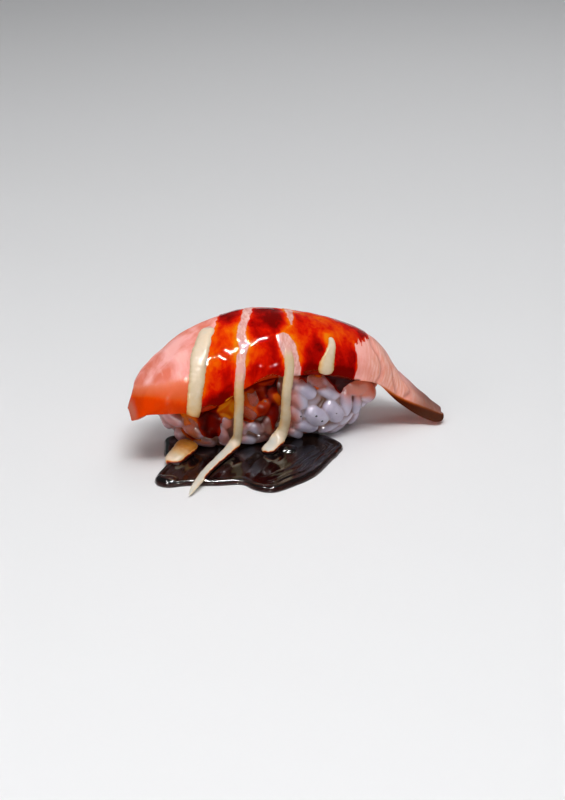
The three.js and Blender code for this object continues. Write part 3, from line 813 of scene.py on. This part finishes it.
run_step, run_round, run_back, run_skin = 0.22, 1.1, 0.4, 0.02
hollow_passes, film_passes, deepest_step = 40, 8, 4
in_front_of_all = -40
run_low, run_high = (-25.5, 1.0), (19.0, 20.5)
glaze_runs = [  # thickness, how far it fills hollows, how dark it looks, how much it covers where it
    # is thinnest, and its outline in front view as x and height
    (0.8, 0.95, 0.64, 0.97, [
        (-21.4, 13.2), (-21.5, 10.2), (-20.8, 8.6), (-20.2, 7.1), (-19.9, 5.6), (-18.9, 4.3),
        (-17.7, 3.6), (-16.6, 3.4), (-15.7, 4.3), (-15.4, 5.7), (-15.4, 7.4), (-15.2, 8.1),
        (-14.6, 7.7), (-15.1, 8.9), (-14.8, 10.0), (-15.5, 10.1), (-15.8, 12.8), (-18.5, 14.5)]),
    (0.3, 0.95, 0.08, 0.92, [
        (-16.6, 11.2), (-16.4, 13.4), (-15.0, 15.2), (-12.1, 16.4), (-11.3, 14.0), (-11.3, 9.0),
        (-13.1, 8.7), (-14.5, 9.3), (-15.7, 9.9)]),
    (0.04, 0.6, 0.24, 0.5, [
        (-24.0, 11.6), (-21.2, 11.2), (-20.2, 7.4), (-19.6, 4.9), (-18.4, 3.5), (-16.2, 2.9),
        (-17.0, 1.7), (-19.6, 1.9), (-21.3, 2.6), (-22.7, 3.6), (-23.6, 5.9), (-23.8, 8.2)]),
    (0.3, 1.0, 0.52, 0.9, [
        (-11.2, 16.4), (-9.9, 14.9), (-8.4, 14.5), (-7.2, 15.0), (-6.1, 14.2), (-4.9, 14.4),
        (-3.4, 13.9), (-1.7, 14.9), (-1.2, 18.6), (-5.0, 20.0), (-9.0, 18.0)]),
    (0.12, 1.0, 0.4, 0.55, [
        (-11.4, 15.4), (-8.1, 15.4), (-4.4, 15.2), (-2.6, 13.6), (-2.4, 10.4), (-4.0, 8.8),
        (-8.1, 7.4), (-9.6, 7.8), (-11.4, 9.2)]),
    (0.5, 1.0, 0.72, 0.95, [
        (-3.5, 17.6), (-1.8, 17.4), (-1.8, 15.4), (-2.0, 12.1), (-1.3, 10.2), (-1.5, 7.7),
        (-2.5, 5.7), (-3.4, 4.6), (-4.0, 6.8), (-4.5, 8.5), (-6.4, 8.6), (-8.2, 8.3),
        (-7.2, 9.2), (-6.2, 9.4), (-5.2, 9.9), (-4.6, 11.5), (-4.8, 13.5), (-5.2, 15.4),
        (-4.7, 17.0)]),
    (0.5, 1.0, 0.58, 0.9, [
        (-6.9, 12.4), (-5.2, 12.5), (-3.6, 11.6), (-4.0, 10.1), (-5.3, 9.0), (-6.9, 9.7),
        (-7.3, 11.0)]),
    (0.4, 1.0, 0.26, 0.92, [
        (-3.6, 14.3), (-2.0, 14.4), (-1.0, 13.2), (-1.0, 10.6), (-2.0, 11.1), (-3.0, 12.2)]),
    (0.9, 1.0, 0.9, 1.0, [
        (8.2, 17.9), (9.0, 17.0), (10.0, 15.8), (11.0, 14.5), (12.2, 12.9), (13.5, 11.4),
        (14.2, 12.3), (15.2, 13.3), (16.4, 14.0), (17.8, 14.4), (18.2, 14.9), (16.2, 15.8),
        (12.5, 17.2)]),
    (0.6, 0.9, 0.75, 0.95, [
        (3.2, 19.6), (4.0, 18.4), (3.3, 17.3), (2.7, 16.5), (4.0, 16.2), (5.3, 15.3), (5.5, 16.7),
        (6.6, 17.7), (7.5, 18.0), (7.2, 19.4)]),
    (0.03, 0.6, 0.36, 0.5, [
        (5.6, 16.6), (6.7, 17.8), (8.4, 17.8), (9.4, 16.5), (9.6, 15.3), (10.8, 13.5),
        (9.2, 13.0), (7.4, 13.2), (6.3, 14.6)]),
]


def closed_curve(points, count):
    """Evenly shared points on the smooth closed curve through points."""
    wrapped = points[-2:] + points + points[:3]
    first, last = 2 / (len(wrapped) - 1), (len(points) + 2) / (len(wrapped) - 1)
    return spline_point(wrapped, np.linspace(first, last, count, endpoint=False))


def depth_inside(outline, x, y):
    """Distance in mm inward from a smooth closed outline, less than 0 outside of it."""
    corners = closed_curve(outline, 12 * len(outline))
    nearest, inside_it = np.full(x.shape, np.inf), np.zeros(x.shape, bool)
    for (ax, ay), (bx, by) in zip(corners, np.roll(corners, -1, axis=0)):
        share = ((x - ax) * (bx - ax) + (y - ay) * (by - ay)) / ((bx - ax) ** 2 + (by - ay) ** 2)
        share = np.clip(share, 0, 1)
        nearest = np.minimum(nearest, np.hypot(ax + (bx - ax) * share - x, ay + (by - ay) * share - y))
        crosses = ((ay > y) != (by > y)) & (x < ax + (y - ay) * (bx - ax) / (by - ay + 1e-12))
        inside_it ^= crosses
    return np.where(inside_it, nearest, -nearest)


def seen_from_front(x, z):
    """Depth y in mm of the rice and of the slice at a place in front view, endless where it misses."""
    start, inward = Vector((x, in_front_of_all, z)) * MM, Vector((0, 1, 0))
    hits = [tree.ray_cast(start, inward)[0] for tree in (rice_tree, salmon_tree)]
    return tuple(math.inf if hit is None else hit.y / MM for hit in hits)


def neighbour_mean(grid):
    """The mean of the four neighbours of each place of a grid."""
    return sum(np.roll(grid, shift, axis) for axis in (0, 1) for shift in (-1, 1)) / 4


def cell_corners(grid):
    """The values at the four corners of each cell of a grid, in order round it."""
    return np.stack([grid[:-1, :-1], grid[1:, :-1], grid[1:, 1:], grid[:-1, 1:]], -1)


rice_tree, salmon_tree = mesh_tree(rice.data), mesh_tree(salmon.data)
x, z = np.meshgrid(np.arange(run_low[0], run_high[0], run_step),
                   np.arange(run_low[1], run_high[1], run_step), indexing="ij")
# The food's front as depths on a grid, and the glaze that fills and coats it inside each outline.
rice_face, slice_face = np.vectorize(seen_from_front)(x, z)
on_rice, bare = rice_face < slice_face, np.minimum(rice_face, slice_face)
bare = np.where(np.isfinite(bare), bare, 0.0)
filled = bare.copy()
for _ in range(hollow_passes):
    filled = np.minimum(bare, neighbour_mean(filled))
uneven = 1 + 0.35 * ripple(np.stack([x, bare, z], -1), 0.5, 9.0)
coat, filling, edge = np.zeros(x.shape), np.zeros(x.shape), np.full(x.shape, -np.inf)
dark, cover = np.full(x.shape, 0.4), np.full(x.shape, 0.5)
for run_thickness, run_filling, run_dark, run_cover, outline in glaze_runs:
    deep = depth_inside(outline, x, z) + 0.25 * ripple(np.stack([x, 0 * x, z], -1), 0.7, 2.0)
    coat = np.maximum(coat, run_thickness * uneven * round_off(deep, run_round) * (deep > 0))
    filling = np.maximum(filling, run_filling * smooth(deep, 0, 0.7))
    inside_run = smooth(deep, -0.2, 0.6)
    dark, cover = mix(dark, run_dark, inside_run), mix(cover, run_cover, inside_run)
    edge = np.maximum(edge, deep)
film_face = bare - (coat + (bare - filled) * filling) * np.where(on_rice, 1, 0.15)
for _ in range(film_passes):
    levelled = np.minimum(neighbour_mean(film_face), bare - run_skin)
    film_face = mix(film_face, levelled, smooth(edge, 0.1, 0.9) * on_rice)
depth = bare - film_face
cover = cover * smooth(edge, -0.1, 0.35 + 1.2 * (1 - cover))
kept = cell_corners(edge > -run_step).all(-1) & (np.ptp(cell_corners(bare), axis=-1) < deepest_step)
used, faces = np.unique(cell_corners(np.arange(x.size).reshape(x.shape))[kept], return_inverse=True)
front = np.stack([x, bare - np.where(edge > 0, depth + run_skin, -0.15), z], -1)
shades = {"depth": depth, "dark": dark, "cover": cover}
runs = make_piece("glaze_runs", front.reshape(-1, 3)[used], faces.reshape(-1, 4).tolist(),
                  {label: values.ravel()[used] for label, values in shades.items()})
# The film gets a back, a little way behind its face, so that it is a closed solid.
body = bmesh.new()
body.from_mesh(runs.data)
grown = bmesh.ops.extrude_face_region(body, geom=list(body.faces), use_keep_orig=True)["geom"]
for part in grown:
    if isinstance(part, bmesh.types.BMVert):
        part.co.y += run_back * MM
bmesh.ops.recalc_face_normals(body, faces=body.faces)
body.to_mesh(runs.data)
body.free()
runs.data.shade_smooth()


def glaze_material():
    """Amber where the glaze is thin, through red to almost black where it has pooled."""
    material, start, shader = start_material("run_glaze")
    place = start.place()
    mottled = place.cloud(420, detail=4) - 0.5
    depth = start.attribute("depth") + mottled * 0.2
    tone = start.attribute("dark") + mottled * 0.35 + start.attribute("depth").rise(0.2, 1.7) * 0.4 - 0.08
    colour = tone.ramp([(0.0, 220, 126, 16), (0.2, 206, 88, 4), (0.42, 164, 38, 0),
                        (0.7, 104, 5, 0), (1.0, 46, 1, 0)])
    thick_enough = depth.rise(0.05, 0.45)
    cover = start.attribute("cover")
    set_shader(material, shader, Base_Color=colour, Roughness=0.14, Specular_IOR_Level=0.0,
               Coat_Weight=0.12, Coat_Roughness=0.04,
               Alpha=cover + (1 - cover) * cover.rise(0.05, 0.3) * thick_enough,
               Normal=place.cloud(500, detail=3).bump(0.25, 0.0004))
    return material


runs.data.materials.append(glaze_material())
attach(runs, "root")


# ------------------------------------------------------------------------------- pepper
# A few specks of coarsely ground black pepper. They fell on the rice beside the third line of
# mayonnaise and stick to it, because it is wet.

pepper_specks = [  # x, height and half size
    (6.9, 7.75, 0.30), (8.45, 6.15, 0.29), (3.5, 7.7, 0.27), (12.2, 7.3, 0.17)]
speck_shape, speck_lift = [1, 0.6, 0.75], 0.05
unit_speck, speck_faces = unit_ball(2)
specks = []
for x, z, size in pepper_specks:
    rough = 1 + 0.3 * ripple(unit_speck, 1.3, x)
    seat = np.array([x, min(seen_from_front(x, z)) - speck_lift, z])
    specks.append(seat + unit_speck * rough[:, None] * size * speck_shape)
pepper = make_piece("pepper", np.concatenate(specks),
                    repeated_faces(speck_faces, len(unit_speck), len(specks)))
material, _, shader = start_material("black_pepper")
set_shader(material, shader, Base_Color=paint(26, 18, 14), Roughness=0.6)
pepper.data.materials.append(material)
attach(pepper, "root")


# ------------------------------------------------------------------------------- mayonnaise
# Piped in four lines across the slice. The first and fourth lie on it whole. The second and third
# start where the brush has smeared them, run off the front edge, hang against the rice and end on
# the board or in the sauce. A blob that dripped from the first lies at the puddle's end.

line_half_width, line_half_height = 1.5, 1.2
rope_sides, rope_step, rope_lift, rope_end_round = 24, 0.28, 0.15, 1.3
downhill = np.array([0.72, -0.62, -0.3])
# A line passes places on the slice, as shares of its length and across it, and then free places in mm.
# Its width and its warmth go from start to end, and warm is 0 for fresh and white, 0.2 for blush and 1
# for soaked with glaze. It rises over the start, is smeared over the fade and rounds off over the tip.
mayonnaise_lines = {
    "mayonnaise_first": {
        "slice": [(0.325, -0.04), (0.288, -0.38), (0.271, -0.6), (0.258, -0.8), (0.252, -0.97)],
        "free": [(-23.1, -13.0, 12.0)], "fringe": 0.3,
        "width": [1.3, 1.3, 1.22, 1.15, 1.08, 0.98], "warm": [0.2, 0.22, 0.32, 0.44, 0.6, 0.9],
        "flat": 0.5, "start": 1.2, "tip": 1.0},
    "mayonnaise_second": {
        "slice": [(0.3645, -0.56), (0.361, -0.76), (0.358, -0.93)],
        "free": [(-12.0, -13.1, 14.2), (-12.0, -12.6, 10.4), (-11.9, -11.9, 6.8),
                 (-12.0, -11.0, 4.2), (-13.6, -11.9, 2.6), (-17.1, -15.2, 1.9), (-21.0, -19.5, 1.8),
                 (-24.6, -24.0, 1.6), (-27.3, -27.4, 1.1), (-29.0, -29.6, 0.5)],
        "width": [0.6, 0.74, 0.76, 0.76, 0.76, 0.76, 0.8, 0.94, 0.84, 0.74, 0.66, 0.46, 0.3],
        "warm": [0.5, 0.6, 0.65, 0.65, 0.45, 0.42, 0.4, 0.1, 0, 0, 0, 0, 0], "fringe": 0.3,
        "flat": 0.7, "start": 9.0, "tip": 5.0, "fade": 12.0},
    "mayonnaise_third": {
        "slice": [(0.4475, -0.5), (0.449, -0.7), (0.4515, -0.9)],
        "free": [(-0.7, -13.3, 15.6), (-0.7, -12.8, 12.4), (-0.6, -12.3, 9.2), (-0.7, -11.6, 6.4),
                 (-1.5, -11.5, 4.2), (-3.4, -12.7, 2.6), (-6.4, -15.1, 1.6)],
        "width": [0.6, 0.74, 0.74, 0.76, 0.78, 0.8, 0.86, 1.0, 1.2, 1.15],
        "warm": [0.3, 0.45, 0.45, 0.42, 0.4, 0.44, 0.5, 0.3, 0.05, 0], "fringe": 0.3,
        "flat": 0.7, "start": 8.0, "tip": 1.4, "fade": 6.0},
    "mayonnaise_fourth": {
        "slice": [(0.536, -0.34), (0.5385, -0.52), (0.532, -0.68), (0.5255, -0.84), (0.5245, -0.99)],
        "width": [0.3, 0.6, 0.85, 1.2, 1.35], "warm": [0.2, 0.25, 0.35, 0.4, 0.45], "fringe": 0.6,
        "flat": 0.36, "start": 3.0, "tip": 1.4},
    "mayonnaise_blob": {
        "free": [(-22.2, -7.0, 3.4), (-23.4, -8.6, 2.7), (-25.7, -10.5, 1.9), (-28.7, -12.9, 1.0)],
        "width": [1.4, 1.75, 1.7, 1.3], "warm": [1.1, 1.1, 0.7, 0.1], "flat": 0.7, "start": 1.0,
        "tip": 1.8},
}


def rope(line, seed):
    """A soft oval rope along a line, lying on the slice first and then on the board."""
    middles, ups = [], []
    for share_along, share_across in line.get("slice", []):
        normal = slice_normal(share_along, share_across)
        middles.append(slice_surface(share_along, share_across) + normal * rope_lift)
        ups.append(normal)
    for place in line.get("free", []):
        middles.append(np.array(place))
        resting = float(smooth(-place[2], -5.0, -2.2))
        ups.append(np.array([0.0, -(1 - resting), 0.1 + resting]))
    length = sum(np.linalg.norm(b - a) for a, b in zip(middles, middles[1:]))
    share = np.linspace(0, 1, int(length / rope_step))
    done = share * length
    middle = spline_point(middles, share)
    ahead = unit(np.gradient(middle, axis=0))
    side = unit(np.cross(ahead, spline_point(ups, share)))
    out = np.cross(side, ahead)
    width = spline_point([[w] for w in line["width"]], share)[:, 0]
    width *= 1 + 0.08 * ripple(middle, 0.35, seed) + 0.03 * ripple(middle, 1.4, seed)
    width *= 1 + 0.025 * np.sin(done * 5.5 + 3 * ripple(middle, 0.3, seed))
    ends = round_off(done, rope_end_round) * round_off(length - done, line["tip"])
    width *= np.maximum(ends, 0.04)
    tall = width * line["flat"] * mix(0.25, 1, smooth(done, 0, line["start"]))
    angle = np.linspace(0, 2 * np.pi, rope_sides, endpoint=False)
    reach_side = (line_half_width * width)[:, None, None] * np.cos(angle)[None, :, None]
    reach_out = (line_half_height * tall)[:, None, None] * np.sin(angle)[None, :, None]
    rings = middle[:, None] + side[:, None] * reach_side + out[:, None] * reach_out
    rings = rings + 0.07 * ripple(rings, 0.9, seed)[..., None] * (rings - middle[:, None])
    rings[..., 2] = np.maximum(rings[..., 2], 0.03)
    warm = spline_point([[w] for w in line["warm"]], share)
    warm = warm + line.get("fringe", 0) * np.abs(np.cos(angle))[None] ** 3
    fresh = smooth(done, 0.3, line.get("fade", 0.3) + 0.01)[:, None] + 0 * angle[None]
    flank = (rings - middle[:, None]) @ downhill - line_half_width * width[:, None]
    return rings, {"warm": warm, "fresh": fresh, "flank": flank}


def mayonnaise_material():
    """Soft white sauce, warmer where glaze has tinted it, and brown where it soaks up sweet sauce."""
    material, start, shader = start_material("mayonnaise")
    place = start.place()
    soft = place.cloud(300, detail=3)
    blotchy = place.cloud(1100, detail=3)
    soak = (start.attribute("soak") + (soft - 0.5) * 0.25).ramp([
        (0.0, 224, 206, 170), (0.28, 226, 168, 80), (0.42, 206, 76, 8),
        (0.6, 116, 14, 2), (1.0, 34, 8, 4)])
    warm = start.attribute("warm") + (soft - 0.5) * 0.3 + (blotchy - 0.5) * 0.2
    colour = warm.ramp([
        (0.0, 200, 198, 187), (0.2, 222, 202, 178), (0.45, 203, 183, 152),
        (0.7, 202, 164, 112), (1.0, 182, 118, 44)])
    fresh = (start.attribute("fresh") + (blotchy - 0.5) * 0.5).rise(0.1, 0.9)
    colour = fresh.blend(paint(216, 156, 146), colour)
    colour = start.attribute("soak").rise(0.1, 0.3).blend(colour, soak)
    set_shader(material, shader, Base_Color=colour, Roughness=0.34, Coat_Weight=0.15,
               Coat_Roughness=0.1, Subsurface_Weight=0.35, Subsurface_Radius=(1.0, 0.8, 0.6),
               Subsurface_Scale=0.001, IOR=1.45, Specular_IOR_Level=0.15,
               Normal=(blotchy * 0.6 + soft * 0.4).bump(0.3, 0.0003))
    return material


cream = mayonnaise_material()
strands = []
for number, (name, line) in enumerate(mayonnaise_lines.items()):
    rings, shades = rope(line, 4.0 + number)
    strand = make_piece(name, rings, loft_faces(len(rings), rope_sides), shades)
    face_outward(strand)
    strand.data.materials.append(cream)
    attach(strand, "root")
    strands.append(strand)
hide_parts("salmon")
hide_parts("sauce_pool")


# ------------------------------------------------------------------------------- sauce puddle
# Thick dark sweet sauce that has run off the slice and settled in front of the rice: flat, with a
# rounded rim that stands up from the board, and faint wrinkles where it was dragged.

puddle_outline = [
    (-24.0, 3.0), (-26.8, -2.6), (-29.0, -11.5), (-32.6, -16.6), (-33.9, -20.2), (-32.2, -23.0),
    (-27.0, -23.7), (-21.8, -25.6), (-16.2, -27.0), (-13.9, -30.9), (-10.4, -33.3), (-3.6, -30.7),
    (1.9, -27.2), (6.8, -21.8), (11.9, -15.8), (12.2, -11.6), (8.0, -6.0), (-4.0, -2.0),
    (-16.0, 1.0)]
puddle_middle = np.array([-11.0, -16.0])
puddle_depth, rim_round, rim_share = 1.25, 0.8, 0.8
rim_crest, rim_crest_width = 1.2, 0.9
puddle_sides, puddle_rings = 260, 130
sauce_domes = [(-0.4, -13.4, 2.1, 0.9), (-31.6, -20.8, 2.6, 0.5)]  # x, y, radius, height
drag_ridges = [(2.9, 0.25), (4.4, 0.12), (6.6, 0.16)]  # distance from the rim, height
ridge_width, creep_height, creep_width = 0.45, 0.35, 0.45

# Rings of points from the rim inward, and how high the sauce stands at each: a rounded rim, faint
# wrinkles, more beside what lies in it, two domes and three ridges.
rim = closed_curve(puddle_outline, puddle_sides)
rim = rim + 0.22 * ripple(np.c_[rim, 0 * rim[:, 0]], 0.35, 1.0)[:, None] * (rim - puddle_middle) / 14
inward = np.concatenate([[0, 0], 1 - np.cos(np.linspace(0.12, np.pi / 2, puddle_rings))])
spread = puddle_middle + (rim - puddle_middle)[None] * (1 - inward)[:, None, None]
inset = np.linalg.norm(spread - rim[None], axis=-1)
dragged = np.stack([spread @ [0.62, 0.78] * 0.14, spread @ [-0.78, 0.62] * 0.55, 0 * inset], -1)
rounded, crest = round_off(inset, rim_round), hill(inset - rim_crest, rim_crest_width)
level = puddle_depth * (rim_share * rounded + (1 - rim_share) * crest)
level = level + 0.1 * ripple(dragged, 1.0, 2.0) * smooth(inset, 0.6, 2.5)
level = level + 0.03 * ripple(dragged, 2.6, 5.0) * smooth(inset, 0.4, 2) * smooth(spread[..., 0], -12, -2)
lying = point_tree([(a, b, 0) for strand in strands for a, b, c in points_of(strand) if c < 2.0])
apart = np.array([lying.find((a, b, 0))[2] for a, b in spread.reshape(-1, 2)]).reshape(inset.shape)
level = level + creep_height * np.exp(-apart / creep_width) * smooth(inset, 0.3, 1.5)
for x, y, radius, height in sauce_domes:
    gap = np.hypot(spread[..., 0] - x, spread[..., 1] - y) / radius
    level = level + height * np.sqrt(np.maximum(1 - gap ** 2, 0)) * smooth(inset, 0, 1.5)
right_front = smooth(spread[..., 0], -13, -6) * smooth(-spread[..., 1], 12, 17)
for distance, height in drag_ridges:
    wavy = distance + 0.5 * ripple(dragged, 0.6, distance)
    level = level + height * hill(inset - wavy, ridge_width) * right_front
level = np.maximum(level, 0)
puddle_points = np.concatenate([spread, level[..., None]], -1)
puddle_points[0, :, 2] = 0.0
puddle = make_piece("sauce_puddle", puddle_points, loft_faces(len(puddle_points), puddle_sides),
                    {"depth": inset})
face_outward(puddle)


def sauce_material():
    """Dark sauce, redder and see-through where it runs out thin."""
    material, start, shader = start_material("sweet_sauce")
    place = start.place()
    uneven = place.cloud(350, detail=4) - 0.5
    body = (start.attribute("depth") + uneven * 0.45).rise(0.05, 0.5)
    drag = place.stretch(200, 420, 200).cloud(detail=4)
    colour = body.blend(paint(52, 14, 7), paint(12, 7, 7))
    set_shader(material, shader, Base_Color=colour, Alpha=0.6 + body * 0.4,
               Roughness=0.1, IOR=1.36, Coat_Weight=0.35, Coat_Roughness=0.03,
               Normal=drag.bump(0.03, 0.0008))
    return material


puddle.data.materials.append(sauce_material())
# Sauce soaks into the mayonnaise that lies in it, from below and along the lower flank of each line.
for strand in strands:
    points = points_of(strand)
    in_sauce = smooth(depth_inside(puddle_outline, points[:, 0], points[:, 1]), -0.2, 0.6)
    uneven = 0.2 * ripple(points, 0.7, 1.0)
    wicking = 1 - smooth(points[:, 2] + uneven, 1.25, 2.1)
    flank = np.empty(len(points), np.float32)
    strand.data.attributes["flank"].data.foreach_get("value", flank)
    edge = smooth(flank + uneven, -0.6, -0.15) * (1 - smooth(points[:, 2], 2.2, 3.4))
    store(strand, {"soak": in_sauce * np.maximum(wicking, edge)})
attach(puddle, "root")
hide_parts("sauce_pool")


# ------------------------------------------------------------------------------- studio
# A pale floor, a dim room and soft light panels on every side. The camera looks down on the food from
# its front left. Its place is in metres.

camera_elevation, camera_yaw = math.radians(22), math.radians(19)
camera_place, camera_lens = (-0.15418, -0.45607, 0.20251), 100
panel_distance, panel_aim = 0.6, Vector((0, 0, 0.01))
shine_panels = [  # name, bearing, elevation, width, height, power, roll
    ("sheen", 34, 72, 0.34, 0.012, 8.0, 22), ("low_sheen", 0, 58, 0.16, 0.014, 4.0, -20),
    ("left_sheen", -60, 62, 0.03, 0.03, 1.5, 0), ("glints", -35, 40, 0.02, 0.02, 1.0, 0),
    ("front_glints", -25, 14, 0.06, 0.04, 1.5, 0), ("low_glints", -6, 5, 0.04, 0.04, 1.2, 0),
    ("right_glints", 32, 10, 0.04, 0.04, 1.2, 0)]
light_panels = [
    ("key", -6, 66, 0.36, 0.12, 1.7, 0), ("left", -48, 30, 0.12, 0.12, 0.3, 0),
    ("overhead", 20, 80, 0.50, 0.50, 1.6, 0), ("front", 5, 18, 0.40, 0.30, 0.45, 0),
    ("left_fill", -60, 40, 0.30, 0.30, 0.25, 0), ("back", 160, 45, 0.30, 0.30, 0.6, 0)]

bpy.ops.mesh.primitive_plane_add(size=3, location=(0, 0, 0))
floor = bpy.context.object
floor.name = "floor"
material, _, shader = start_material("pale_floor")
set_shader(material, shader, Base_Color=(0.74, 0.74, 0.75, 1), Roughness=0.6)
floor.data.materials.append(material)


def bearing_to(turn, rise):
    """The direction from the food at a turn from its front and a rise over the floor, in radians."""
    return Vector((math.sin(turn) * math.cos(rise), -math.cos(turn) * math.cos(rise), math.sin(rise)))


camera = bpy.data.objects.new("camera", bpy.data.cameras.new("camera"))
bpy.context.scene.collection.objects.link(camera)
camera.data.lens = camera_lens
camera.data.clip_start, camera.data.clip_end = 0.01, 20
camera.location = camera_place
camera.rotation_mode = "QUATERNION"
camera.rotation_quaternion = (-bearing_to(-camera_yaw, camera_elevation)).to_track_quat("-Z", "Y")
bpy.context.scene.camera = camera


def softbox(name, bearing, elevation, width, height, power, roll, shines):
    """A light panel aimed at the food. Bearing 0 is the camera's side, and 90 is to its right. It only
    shines back from wet surfaces, or only lights them."""
    away = bearing_to(math.radians(bearing) - camera_yaw, math.radians(elevation))
    light = bpy.data.lights.new(name, "AREA")
    light.shape, light.size, light.size_y, light.energy = "RECTANGLE", width, height, power
    box = bpy.data.objects.new(name, light)
    bpy.context.scene.collection.objects.link(box)
    box.location = away * panel_distance + panel_aim
    box.rotation_mode = "QUATERNION"
    box.rotation_quaternion = away.to_track_quat("Z", "Y") @ Quaternion((0, 0, 1), math.radians(roll))
    box.visible_glossy, box.visible_diffuse = shines, not shines


for panels, shines in ((shine_panels, True), (light_panels, False)):
    for panel in panels:
        softbox(*panel, shines)
world = bpy.data.worlds.new("room")
world.use_nodes = True
world.node_tree.nodes["Background"].inputs["Color"].default_value = (0.94, 0.97, 1.0, 1)
world.node_tree.nodes["Background"].inputs["Strength"].default_value = 0.1
bpy.context.scene.world = world
bpy.context.scene.view_settings.view_transform = "Standard"
